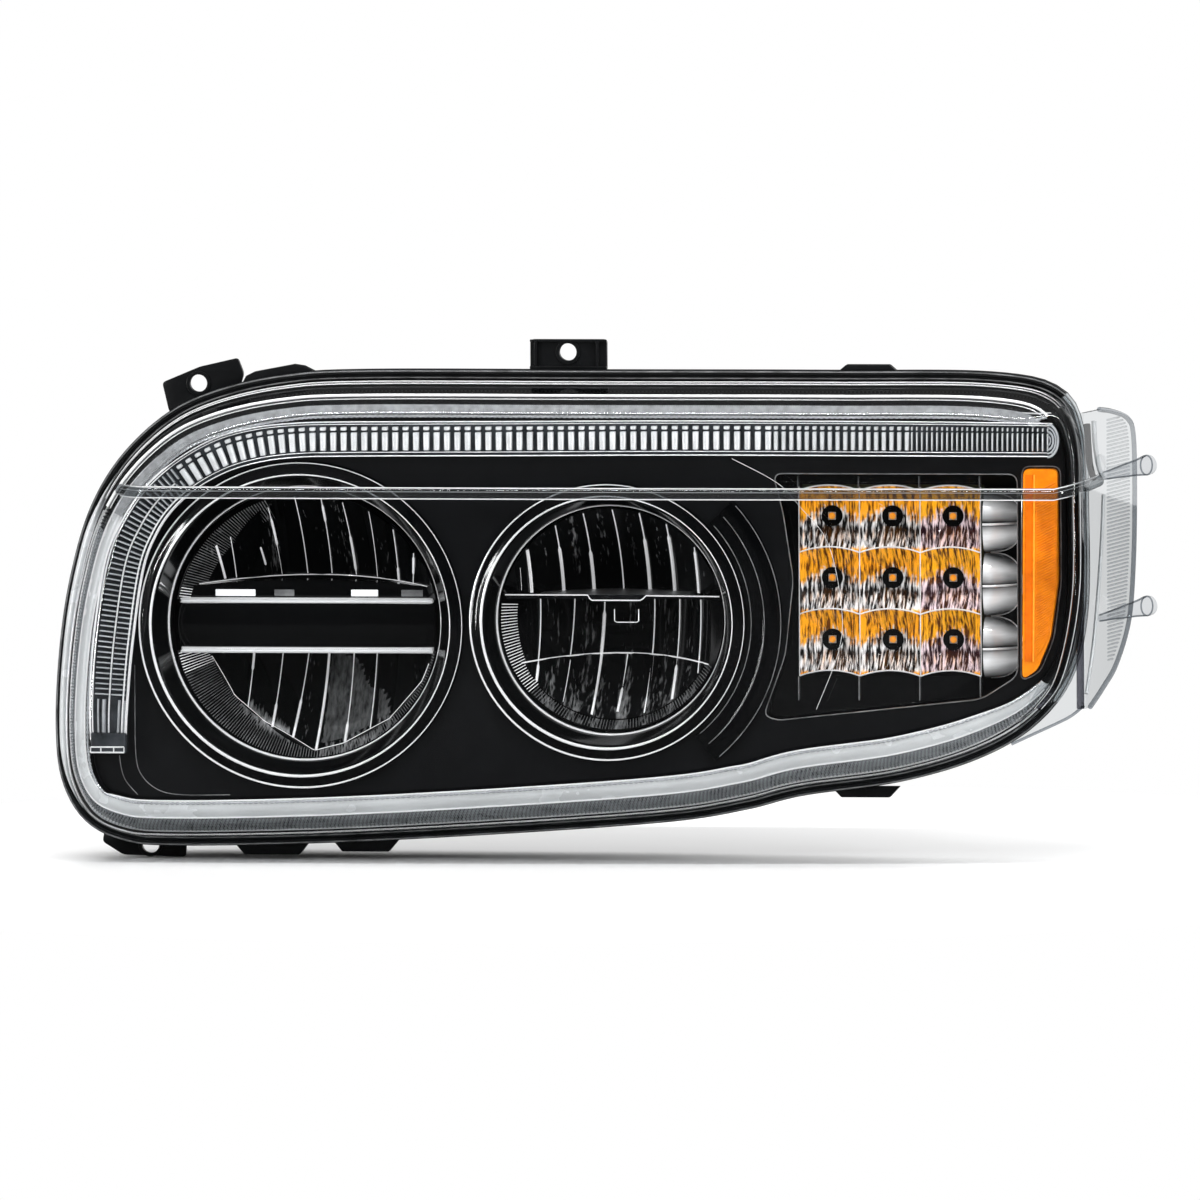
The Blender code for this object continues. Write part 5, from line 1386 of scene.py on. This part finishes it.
def make_low_shelf():
    """The black wall below the upper reflector, with four bright windows along its foot; the two white ones
    glow, a painted glow.
    """
    arch = [(x, low_arch(x) - 0.0004) for x in [-0.0735 + 0.147 * k / 30 for k in range(31)]]
    shelf = Shape().prism(beside(LOW, [(-0.0735, 0.0158), (0.0735, 0.0158), *arch[::-1]]), (-0.0058, 0.009))
    shelf.make("low_shelf_front", "gloss_black", "low_beam")
    windows = Shape()
    for left, right, tone in LOW_WINDOWS:
        corners = [(left, 0.0168), (right, 0.0168), (right, 0.0208), (left, 0.0208)]
        windows.prism(beside(LOW, corners), (-0.0066, -0.005), tone)
    windows.make("low_shelf_windows", ["window_white", "smoke_chrome"], "low_beam", bevel=0.0003)


low_v = line_through(LOW_V)


def in_reflection_patch(x, z):
    """Whether a place is in the smooth grey patch, a painted reflection, of the low beam's lower reflector."""
    return x > 0.0072 and z < -0.019 - 0.95 * (x - 0.017) + 0.003 * sin(x * 330)


# Painted light on the lower facets: dark overall, a painted highlight along the V edge on the left, the grey
# painted reflection patch, and a faint painted streak near the middle.
def low_lower_painted_light(x, z):
    painted_light = -0.45
    if -0.042 < x < -0.012:
        painted_light += 1.25 * peak(z, low_v(x), 0.0075)
    if x > 0.0072:
        painted_light += 0.6 if in_reflection_patch(x, z) else 0.1
    if -0.0084 < x < 0.006:
        painted_light += 0.3 * peak(x, -0.004, 0.004)
    return painted_light


def make_low_lower():
    shape = Shape()
    # Faces in the grey patch take the calmer patch material: a painted reflection.
    facets(shape, LOW, LOW_LOWER_BOUNDS, lambda x: low_v(x) + 0.0004, lambda x: -0.0158, rows=44, columns=9,
           tone_of=lambda x, z: 3 if in_reflection_patch(x, z) and z > low_v(x) + 0.003 else 0)
    inner_of = line_through(sorted((atan2(z, x) * 180 / pi % 360, hypot(x, z)) for x, z in LOW_V))
    for start, end, light in ((192, 202, 2), (202, 348, 1)):
        fluted_band(shape, LOW, start, end, lambda a: min(0.0775, inner_of(a)), 0.0788, light)
    shape.make("low_lower_facets", BOWL_TONES, "low_beam", angle=22,
               values={"painted_light": about(LOW, low_lower_painted_light)})
    edge = edge_seam(LOW, low_v, -0.06, 0.133, 60, 0.001, 0.00022)
    bars("low_lower_seams", "seam_chrome", seams(LOW, LOW_LOWER_SEAMS) + [edge], "low_beam")


def make_low_bar():
    """The black bar across the middle, a bright strip on its top and bottom, and thin grey lines at its end
    that are painted reflections.
    """
    x0, z0 = LOW["x"], LOW["z"]
    rows = []
    for t in [-1 + k / 12 for k in range(25)]:
        half = sqrt(0.078**2 - (0.013 * t) ** 2) - 0.0012
        y, z = -0.0118 - 0.0016 * (1 - t * t), z0 + 0.0004 + 0.0126 * t
        rows.append([(x0 - half + 2 * half * c / 60, y + 0.0022 * abs(2 * c / 60 - 1) ** 6, z)
                     for c in range(61)])
    face = Shape().grid(rows).make("low_bar_face", "gloss_black", "low_beam", wall=0.003, side=1, angle=50)
    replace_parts(face, "low_centre_bar")

    top, bottom = Shape(), Shape()
    for z, size in ((0.0157, 0.00085), (0.0138, 0.00075)):
        top.tube([(x0 + x, -0.0143, z0 + z) for x in (-0.0758, -0.074, -0.02, 0.02, 0.074, 0.0758)],
                 [size * 0.5, size, size, size, size, size * 0.5], 10)
    top.block((x0 - 0.0755, x0 + 0.0755), (-0.0135, -0.0068), (z0 + 0.0134, z0 + 0.016))
    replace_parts(top.make("low_strip_top", "bright_chrome", "low_beam"), "low_bar_strip_upper")
    bottom.tube([(x0 + x, -0.0143, z0 - 0.0158) for x in (-0.0758, -0.074, 0, 0.074, 0.0758)], 0.0008, 10)
    bottom.block((x0 - 0.0755, x0 + 0.0755), (-0.0135, -0.0068), (z0 - 0.016, z0 - 0.0132))
    bottom.tube([(x0 - 0.075 + 0.15 * k / 480, -0.0142, z0 - 0.014) for k in range(481)],
                [0.0009 - 0.00035 * (k % 4 == 0) for k in range(481)], 8)
    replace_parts(bottom.make("low_strip_bottom", "bright_chrome", "low_beam"), "low_bar_strip_lower")
    # Curved grey lines near the bar's end: painted reflections.
    bars("low_bar_reflection_lines", "smoke_chrome",
         [([(x0 + x + bend * (k / 10) ** 3, -0.0128 + 0.0001 * k, z0 + high + (low - high) * k / 10)
            for k in range(11)], 0.00016) for x, low, high, bend in LOW_BAR_REFLECTIONS], "low_beam", sides=5)


def make_low_beam():
    make_bowl_shell(LOW, "low_upper_shell", 0.0155, 0.079, "low_upper_reflector")
    make_bowl_shell(LOW, "low_lower_shell", -0.079, -0.0155, "low_lower_reflector")
    make_low_upper()
    make_low_shelf()
    make_low_lower()
    make_low_bar()


# Painted light on the high beam's upper facets: dark, with painted glints that grow towards the top.
def high_upper_painted_light(x, z):
    rise = max(0.0, min(1.0, (z - 0.018) / 0.02))
    return -0.42 + sum(gain * peak(x, middle, width) * rise for middle, width, gain in HIGH_UPPER_GLINTS)


def make_high_upper():
    rim = 0.0658
    shape = Shape()
    facets(shape, HIGH, HIGH_UPPER_BOUNDS, lambda x: 0.0142, lambda x: max(0.015, arc_height(rim, x)),
           bulge=0.0016)
    shape.make("high_upper_facets", "bowl_mirror", "high_beam", angle=22,
               values={"painted_light": about(HIGH, high_upper_painted_light)})
    long_seams = [(x, 0.0142, sqrt(rim**2 - x * x) - 0.001, 0, *thick) for x, *thick in HIGH_UPPER_THICK]
    bars("high_upper_seams", "seam_chrome",
         seams(HIGH, long_seams, 0.00042) + seams(HIGH, HIGH_UPPER_SEAMS, 0.0002), "high_beam")


def high_fold(x):
    return -0.024 - 0.0034 * (x / 0.058) ** 2


# Painted light on the high beam's lower facets: painted glints at listed places, and rippled painted
# reflection bands towards the bottom.
def high_lower_painted_light(x, z):
    painted_light = -0.36
    for middle, width, gain in HIGH_LOWER_GLINTS:
        painted_light += gain * peak(x, middle, width)
    if z < -0.03:
        painted_light += 0.55 * min(1.0, (-z - 0.03) / 0.02) * (0.5 + 0.5 * sin(x * 420))
    return painted_light


def make_high_lower():
    shape = Shape()
    facets(shape, HIGH, HIGH_LOWER_BOUNDS, high_fold, lambda x: 0.0098, bulge=0.0014)
    facets(shape, HIGH, HIGH_FOLD_BOUNDS, lambda x: min(high_fold(x) - 0.0005, -arc_height(0.0605, x)),
           high_fold, bulge=0.002, back=-0.0008)
    fluted_band(shape, HIGH, 172, 222, lambda a: 0.0585 + 0.0018 * max(0, (a - 190) / 32), 0.0665, 2,
                pitch=1.6)
    fluted_band(shape, HIGH, 222, 335, lambda a: 0.0612, 0.066, 1, pitch=1.6)
    shape.make("high_lower_facets", BOWL_TONES[:3], "high_beam", angle=22,
               values={"painted_light": about(HIGH, high_lower_painted_light)})
    edge = edge_seam(HIGH, high_fold, -0.055, 0.112, 40, 0.0022, 0.00045)
    bars("high_lower_seams", "seam_chrome", seams(HIGH, HIGH_LOWER_SEAMS, 0.00038) + [edge], "high_beam")


def make_high_divider():
    bars("high_divider_line", "seam_chrome",
         [([(x, y, z) for x, z in beside(HIGH, path)], size) for path, y, size in
          ((HIGH_DIVIDER, -0.0108, 0.0004), (HIGH_CLIP, -0.006, 0.00028))], "high_beam")
    front = Shape().prism(beside(HIGH, HIGH_SHELF), (-0.0106, -0.0101))
    front.make("high_shelf_front", "dark_chrome", "high_beam")


def make_high_beam():
    make_bowl_shell(HIGH, "high_upper_shell", 0.0151, 0.0668, "high_upper_reflector")
    make_bowl_shell(HIGH, "high_lower_shell", -0.0668, 0.0104, "high_lower_reflector")
    make_high_upper()
    make_high_lower()
    make_high_divider()


# ---------------------------------------------------------------- turn signal and side marker
CELL_HALF = (CELL_PITCH[0] / 2, CELL_PITCH[1] / 2)
CELL_EDGES = (-1.5, -0.5, 0.5, 1.5)
CELL_LEFT, CELL_RIGHT = [CELL_CENTRE[0] + share * CELL_PITCH[0] for share in (-1.5, 1.5)]
CELL_BOTTOM, CELL_TOP = [CELL_CENTRE[1] + share * CELL_PITCH[1] for share in (-1.5, 1.5)]
CUP_FLOOR_Y, CUP_DEPTH, CUP_HOLE = -0.0072, 0.0166, 0.005
DOME = [(0.0021, -0.009), (0.002, -0.0098), (0.0016, -0.0105), (0.0009, -0.0109), (0.0001, -0.011)]
WALL_YS = (-0.0236, -0.0226)
SCALLOPS = ((0.0302, 0.065), (-0.0078, 0.0296), (-0.0448, -0.0084))
SCALLOP_X, SCALLOP_WIDTH = 0.2304, 0.0222
MARKER_MIDDLE = (0.264, 0.02)
MARKER_LEFT = line_through([(-0.044, 0.255), (0.0815, 0.256)])
MARKER_RIGHT = line_through([(-0.044, 0.257), (-0.0385, 0.264), (-0.019, 0.2722), (0.015, 0.2768),
                             (0.0815, 0.2765)])


def cell_bow(x):
    """Height of the arch of a cell's upper and lower edge over the distance from its middle."""
    return 0.001 - 0.0034 * (x / CELL_HALF[0]) ** 2


def cell_edge(angle):
    """Distance from a cell's centre to its arched edge."""
    c, s = cos(angle), sin(angle)
    across = CELL_HALF[0] / max(1e-6, abs(c))
    reach = across
    for _ in range(12):
        side = CELL_HALF[1] if s > 0 else -CELL_HALF[1]
        reach = min(across, (side + cell_bow(reach * c)) / s) if abs(s) > 0.001 else min(across, 1.0)
    return reach


def cup_rows(cx, cz):
    rows = []
    for a in [2 * pi * i / 96 for i in range(97)]:
        edge, ripple = cell_edge(a), abs(sin(4 * a)) * 0.0013
        row = []
        for t in [k / 12 for k in range(13)]:
            r = CUP_HOLE + (edge - CUP_HOLE) * t
            y = CUP_FLOOR_Y - CUP_DEPTH * t**1.5 - ripple * sin(pi * t)
            row.append((cx + r * cos(a), y, cz + r * sin(a)))
        rows.append(row)
    return rows


def cell_place(x, z):
    """Place within its cell, from -0.5 to 0.5 both ways."""
    return [((value - middle) / pitch + 0.5) % 1 - 0.5 for value, middle, pitch in
            zip((x, z), CELL_CENTRE, CELL_PITCH)]


# Painted light in the signal cups: seven painted flute highlights across each cell, a lighter upper half, a
# painted dark band below the middle and painted highlights at the side walls.
def cup_painted_light(x, y, z):
    across, up = cell_place(x, z)
    flute = cos(across * 2 * pi * 7)
    painted_dark_band = 0.55 * peak(up, -0.22, 0.1)
    painted_rim_highlight = 0.45 * max(0.0, (abs(across) - 0.4) / 0.1)
    painted_lit = 0.6 if up > 0.02 else 0.3
    return painted_lit + 0.5 * flute * (0.7 + 0.3 * sin(z * 700)) - painted_dark_band + painted_rim_highlight


def cup_warmth(x, y, z):
    across, up = cell_place(x, z)
    edge = 0.02 + 0.1 * cos(across * 2 * pi) + 0.06 * sin(x * 2600) + 0.04 * sin(x * 900 + 2)
    warm = min(1.0, max(0.0, (up - edge) / 0.05))
    low = 0.55 * max(0.0, sin(x * 1700 + 1)) * peak(up, -0.3, 0.12)
    return max(warm, low)


def make_signal_cups():
    cups, seats, packages, domes = Shape(), Shape(), Shape(), Shape()
    for row in (1, 0, -1):
        for column in (-1, 0, 1):
            x, z = CELL_CENTRE[0] + column * CELL_PITCH[0], CELL_CENTRE[1] + row * CELL_PITCH[1]
            cups.grid(cup_rows(x, z), tone=1 if column == 1 else 0)
            seats.turned([(0.0063, -0.0086), (0.0063, -0.0064), (0.0003, -0.0064), (0.0003, -0.0086)], x, z,
                         steps=32)
            packages.block((x - 0.0023, x + 0.0023), (-0.0094, -0.007), (z - 0.0023, z + 0.0023))
            domes.turned(DOME, x, z, steps=20, closed=False)
    cups = cups.make("signal_cups", ["cup_mirror", "cup_rose"], angle=28,
                     values={"painted_light": cup_painted_light, "warmth": cup_warmth})
    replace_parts(cups, "signal_reflector")
    seats.make("signal_led_seats", "gloss_black")
    packages.make("signal_led_packages", "led_white", bevel=0.0003)
    domes.make("signal_led_domes", "led_dome")


def make_signal_cell_edges():
    edges = Shape()
    for row in CELL_EDGES[::-1]:
        points = []
        for x in [CELL_PITCH[0] * (k / 24 - 1.5) for k in range(73)]:
            bow = cell_bow((x + 1.5 * CELL_PITCH[0]) % CELL_PITCH[0] - CELL_HALF[0])
            points.append((CELL_CENTRE[0] + x, -0.0242, CELL_CENTRE[1] + row * CELL_PITCH[1] + bow))
        edges.tube(points, 0.00045, 6)
    for column in CELL_EDGES:
        x = CELL_CENTRE[0] + column * CELL_PITCH[0]
        edges.tube([(x, -0.024, CELL_BOTTOM - 0.002), (x, -0.024, CELL_TOP)], 0.00035, 6)
    edges.make("signal_cell_edges", "edge_chrome")


def make_signal_surround():
    left, bottom, sill = CELL_LEFT - 0.018, CELL_BOTTOM - 0.0024, CELL_BOTTOM - 0.0021
    right, far = CELL_LEFT - 0.0006, CELL_RIGHT + 0.001
    walls = Shape().block((CELL_LEFT, CELL_RIGHT), WALL_YS, (CELL_TOP + 0.0014, 0.081))
    walls.prism([(left, bottom - 0.029), (far, bottom - 0.012), (far, sill), (left, sill)], WALL_YS)
    walls.prism([(left, bottom), (right, bottom), (right, 0.081), (left, 0.081)], WALL_YS)
    walls.make("signal_surround", "gloss_black")
    fins = Shape()
    for column in CELL_EDGES:
        x = CELL_CENTRE[0] + column * CELL_PITCH[0]
        for zs in ((CELL_TOP, 0.076), (bottom - 0.014, bottom)):
            fins.block((x - 0.0003, x + 0.0003), (-0.03, -0.0226), zs)
    fins.make("signal_fins", "smoke_chrome")


def make_signal_lens():
    opening = [(x + (0.001 if x < 0.17 else -0.0225), z - 0.001 if z > 0 else z + 0.001)
               for x, z in SIGNAL_OPENING]
    ys = (BEZEL_Y - 0.0008, BEZEL_Y + 0.001)
    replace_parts(plate("signal_clear_lens", [rounded(opening, 0.006)], ys, "lens_clear"), "signal_inner_lens")
    outline = [(x, BEZEL_Y - 0.0003, z) for x, z in rounded(SIGNAL_OPENING, 0.006)]
    bars("signal_frame_line", "smoke_chrome", [(outline, 0.00035)], closed=True)


def scallop_painted_light(x, y, z):
    """Painted highlights: two bright crescents in each scallop."""
    across = (x - SCALLOP_X) / SCALLOP_WIDTH
    for low, high in SCALLOPS:
        if low <= z <= high:
            up = (z - low) / (high - low)
            if up > 0.5:
                return 1.1 - 4.4 * abs(up - 0.78 + 0.1 * across) - 0.45 * across
            return 1.2 - 4.8 * abs(up - 0.26 - 0.06 * across) - 0.2 * across
    return 0.0


def make_side_scallops():
    shape, edges = Shape(), Shape()
    for low, high in SCALLOPS:
        middle, half = (low + high) / 2, (high - low) / 2
        rows = []
        for a in [radians(-88 + 5.5 * i) for i in range(33)]:
            rows.append([(SCALLOP_X + SCALLOP_WIDTH * t * cos(a) ** 0.6,
                          -0.0135 - 0.0185 * (1 - t * t) * cos(a) ** 0.8, middle + half * sin(a))
                         for t in [k / 12 for k in range(13)]])
        shape.grid(rows)
        edges.tube([(x, y - 0.0006, z) for x, y, z in rows[16]], 0.0007, 8)
        edges.tube([(x, y - 0.0004, z) for x, y, z in [row[-1] for row in rows]], 0.0004, 6)
    made = shape.make("side_scallops", "louvre_mirror", angle=50, values={"painted_light": scallop_painted_light})
    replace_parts(made, "side_reflector")
    edges.make("side_scallop_edges", "edge_chrome")
    back = Shape().block((0.23, 0.255), (-0.012, 0.006), (-0.045, 0.0685))
    back.make("side_scallop_back", "gloss_black", bevel=0.0006)


def marker_opening(gap):
    """The marker's outline with a gap round it."""
    corners = [(x + (gap if x > 0.26 else -gap), z + (gap if z > 0.018 else -gap)) for x, z in MARKER]
    return rounded(corners, 0.005)


def make_marker_lens():
    outline = rounded(MARKER, 0.004)
    rows = []
    for by, y in ((0, -0.034), (0, -0.0428), (0.0003, -0.0436), (0.001, -0.0441)):
        row = []
        for x, z in outline:
            dx, dz = x - MARKER_MIDDLE[0], z - MARKER_MIDDLE[1]
            size = hypot(dx, dz)
            row.append((x - dx / size * by, y, z - dz / size * by * 0.6))
        rows.append(row)
    marker = Shape().grid(rows, closed=True).cap(len(outline)).make("marker_lens", "amber", angle=30)
    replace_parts(marker, "side_marker_lens")


def make_side_marker():
    make_marker_lens()
    levels = [-0.033 + 0.111 * k / 40 for k in range(41)]
    stripe = Shape().grid([[(MARKER_LEFT(z) + across, y, z) for z in levels] for across, y in
                           ((0.0012, -0.0438), (0.0018, -0.0446), (0.0054, -0.0446), (0.006, -0.0438))])
    stripe.make("marker_dark_stripe", "amber_deep", angle=40)
    # The ridge uses the self-lit LED material, so it glows: a painted glow on a part that is no lamp.
    ridge = [(MARKER_LEFT(z) + 0.0068, -0.0444, z) for z in levels]
    bars("marker_bright_ridge", "led_dome", [(ridge, 0.0005)])
    prisms = []
    for z in [-0.03 + 0.0016 * i for i in range(62)]:
        left, right = MARKER_LEFT(z) + 0.008, MARKER_RIGHT(z + 0.004) - 0.0012
        if right - left > 0.003:
            prisms.append(([(left, -0.0441, z), (left + (right - left) / 2, -0.0443, z + 0.003),
                            (right, -0.0441, z + 0.006)], 0.00055))
    bars("marker_prisms", "amber", prisms)
    source = Shape().block((0.265, 0.2735), (-0.0443, -0.0438), (0.033, 0.042))
    source.make("marker_source", "amber_deep", bevel=0.0002)
    outline = [(x, BEZEL_Y - 0.0002, z) for x, z in marker_opening(0.0012)]
    bars("marker_frame_line", "smoke_chrome", [(outline, 0.0004)], closed=True)


def make_signal():
    make_signal_cups()
    make_signal_cell_edges()
    make_signal_surround()
    make_signal_lens()
    make_side_scallops()
    make_side_marker()


# ---------------------------------------------------------------- parts that keep their CAD shape
SLOT_LOOK = {"black_plastic": "tub_black", "clear_lens": "lens_clear", "silver_trim": "silver_white",
             "light_guide": "guide_bar"}
WEB_FACES = [(0, 1, 2, 3), (7, 6, 5, 4), (0, 4, 5, 1), (1, 5, 6, 2), (2, 6, 7, 3), (3, 7, 4, 0)]


def dress_cad_nodes():
    """Gives every CAD node the material of its slot, and soft edges to those that are still seen."""
    slots = {part["node"]: part["material_slot"] for part in frame["record"]["subparts"]}
    for name, obj in NODES.items():
        slot = slots[name]
        material = MAT[SLOT_LOOK.get(slot, slot)]
        if not obj.data.materials:
            obj.data.materials.append(material)
        for i in range(len(obj.data.materials)):
            obj.data.materials[i] = material
        if not obj.hide_render:
            round_edges(obj, 0.0003, 50)


def make_cover_ribs(bowl):
    """Radial webs and a middle ring on a rear cover."""
    x, z, hole = bowl["x"], bowl["z"], bowl["cover"]
    inner, outer = hole * 0.5, hole - 0.0125
    ribs = Shape()
    for a in [radians(15 + 30 * i) for i in range(12)]:
        across = Vector((-sin(a), 0, cos(a))) * 0.0009
        web = [Vector((x + r * cos(a), REAR_WALL_Y + 0.0025 + h, z + r * sin(a))) for r, h in
               ((inner, 0.0118), (outer, 0.0106), (outer - 0.001, 0.0128), (inner + 0.001, 0.0142))]
        ribs.add([v + across for v in web] + [v - across for v in web], WEB_FACES)
    low, high = REAR_WALL_Y + 0.0145, REAR_WALL_Y + 0.0164
    near, far = hole * 0.44, hole * 0.47
    ribs.turned([(near, low), (near, high), (far, high), (far, low)], x, z, steps=48)
    ribs.make(f"{bowl['name']}_cover_ribs", "tub_black", bevel=0.0003)


def make_rear_details():
    for bowl in (LOW, HIGH):
        make_cover_ribs(bowl)
    ribs, ys = Shape(), (0.1078, 0.1096)
    for x in (-0.095, -0.085, 0.065):
        ribs.block((x - 0.0008, x + 0.0008), ys, (-0.075, 0.06))
    for right, z in ((0.06, 0.056), (0.11, -0.08)):
        ribs.block((-0.108, right), ys, (z - 0.0008, z + 0.0008))
    ribs.make("rear_wall_ribs", "tub_black", bevel=0.0003)


# ---------------------------------------------------------------- studio
FLOOR_HALF = 3.0
FLOOR_CELLS = 24
FLOOR_GAP = 0.0002
CAMERA_REACH = 15
CAMERA_LENS = 755
CAMERA_AZIMUTH, CAMERA_ELEVATION, CAMERA_ROLL = radians(7), radians(4), radians(0.3)
CAMERA_DRIFT = (0.0024, 0.0003)
SOFTBOXES = {
    # name: place, aim, size, watts, seen in reflections
    "top_softbox": ((0.0, -0.75, 1.5), (0, 0, 0), (1.8, 0.09), 22, True),
    "left_strip": ((-1.35, -1.0, 0.35), (0, 0, 0), (0.06, 1.3), 10, True),
    "right_strip": ((1.45, -0.9, 0.35), (0.1, 0, 0), (0.12, 1.3), 13, True),
    "back_fill": ((0.0, 1.6, 1.2), (0, 0, 0), (2.0, 0.8), 50, False),
    "front_fill": ((-0.6, -2.2, 1.1), (0, 0, 0), (0.9, 0.6), 13, False),
    "right_fill": ((1.2, -1.8, 0.8), (0, 0, 0), (0.9, 0.6), 9, False),
}


def add_light(name, place, aim, size, watts, mirrored):
    data = bpy.data.lights.new(name, "AREA")
    data.shape, data.size, data.size_y = "RECTANGLE", *size
    data.energy = watts
    obj = bpy.data.objects.new(name, data)
    obj.location = place
    obj.rotation_mode = "QUATERNION"
    obj.rotation_quaternion = (Vector(aim) - Vector(place)).to_track_quat("-Z", "Y")
    obj.visible_camera = False
    obj.visible_glossy = mirrored
    bpy.context.scene.collection.objects.link(obj)


def floor_material():
    """White floor that fades into the white background, and stays dark in the lamp's reflections."""
    material, tree, body = new_material("floor_white")
    feed(tree, body, {"Base Color": (0.9, 0.9, 0.9), "Roughness": 0.7, "Specular IOR Level": 0.1})
    place = node(tree, "TexCoord").outputs["Object"]
    away = node(tree, "VectorMath", {0: place}, operation="LENGTH")
    fade = node(tree, "MapRange", {"Value": away, "From Min": 0.42, "From Max": 0.62},
                interpolation_type="SMOOTHSTEP")
    seen = node(tree, "MixShader", {"Fac": fade, 1: body, 2: node(tree, "Emission")})
    dark = node(tree, "BsdfDiffuse", {"Color": (0.05, 0.05, 0.05)})
    mirrored = node(tree, "LightPath").outputs["Is Glossy Ray"]
    last = node(tree, "MixShader", {"Fac": mirrored, 1: seen, 2: dark})
    feed(tree, tree.nodes["Material Output"], {"Surface": last})
    return material


def make_floor():
    level = CAD_BOX[0][2] - LAMP_SHIFT.z - FLOOR_GAP
    ticks = [-FLOOR_HALF + 2 * FLOOR_HALF * i / FLOOR_CELLS for i in range(FLOOR_CELLS + 1)]
    sheet = Shape().grid([[(x, y, level) for x in ticks] for y in ticks])
    mesh = bpy.data.meshes.new("floor")
    mesh.from_pydata(sheet.vertices, [], sheet.faces)
    mesh.materials.append(floor_material())
    obj = bpy.data.objects.new("floor", mesh)
    obj.location = LAMP_SHIFT
    bpy.context.scene.collection.objects.link(obj)


def make_world():
    """White to the camera, even soft light for the surfaces, and a dim sky with one glow in reflections."""
    scene = bpy.context.scene
    world = scene.world or bpy.data.worlds.new("studio")
    scene.world = world
    world.use_nodes = True
    tree = world.node_tree
    tree.nodes.clear()
    place = node(tree, "TexCoord").outputs["Generated"]
    height = node(tree, "SeparateXYZ", {"Vector": place}).outputs["Z"]
    sky = node(tree, "MapRange", {"Value": height, "From Min": 0.05, "From Max": 0.95, "To Min": 0.01,
                                  "To Max": 0.24}, interpolation_type="SMOOTHSTEP")
    beside = node(tree, "VectorMath", {0: place, 1: (0.55, 0.835, 0)}, operation="DOT_PRODUCT")
    glow = node(tree, "MapRange", {"Value": beside, "From Min": 0.8, "From Max": 0.97, "To Max": 1.1},
                interpolation_type="SMOOTHSTEP")
    total = node(tree, "Math", {0: sky, 1: glow}, operation="ADD")
    mirrored = node(tree, "Background", {"Strength": total})
    soft = node(tree, "Background", {"Strength": 0.2, "Color": (1, 1, 1)})
    seen = node(tree, "Background", {"Color": (1, 1, 1)})
    path = node(tree, "LightPath").outputs
    kinds = node(tree, "MixShader", {"Fac": path["Is Glossy Ray"], 1: soft, 2: mirrored})
    last = node(tree, "MixShader", {"Fac": path["Is Camera Ray"], 1: kinds, 2: seen})
    node(tree, "OutputWorld", {"Surface": last})


def make_camera():
    data = bpy.data.cameras.new("camera")
    data.lens, data.sensor_width = CAMERA_LENS, 36
    data.clip_start, data.clip_end = 0.1, 80
    obj = bpy.data.objects.new("camera", data)
    back = Vector((cos(CAMERA_ELEVATION) * sin(CAMERA_AZIMUTH), -cos(CAMERA_ELEVATION) * cos(CAMERA_AZIMUTH),
                   sin(CAMERA_ELEVATION)))
    across = Vector((cos(CAMERA_AZIMUTH), sin(CAMERA_AZIMUTH), 0))
    target = LAMP_SHIFT - across * CAMERA_DRIFT[0] - Vector((0, 0, CAMERA_DRIFT[1]))
    obj.location = target + back * CAMERA_REACH
    obj.rotation_mode = "QUATERNION"
    obj.rotation_quaternion = (-back).to_track_quat("-Z", "Y") @ Quaternion((0, 0, 1), -CAMERA_ROLL)
    bpy.context.scene.collection.objects.link(obj)
    bpy.context.scene.camera = obj


def make_studio():
    bpy.context.scene.view_settings.view_transform = "Standard"
    bpy.context.scene.cycles.transparent_max_bounces = 24
    make_camera()
    make_world()
    make_floor()
    for name, light in SOFTBOXES.items():
        add_light(name, *light)


def main():
    make_studio()
    make_housing()
    make_outer_lens()
    make_trim()
    make_bezel()
    make_light_guide()
    make_low_beam()
    make_high_beam()
    make_signal()
    make_rear_details()
    dress_cad_nodes()


main()
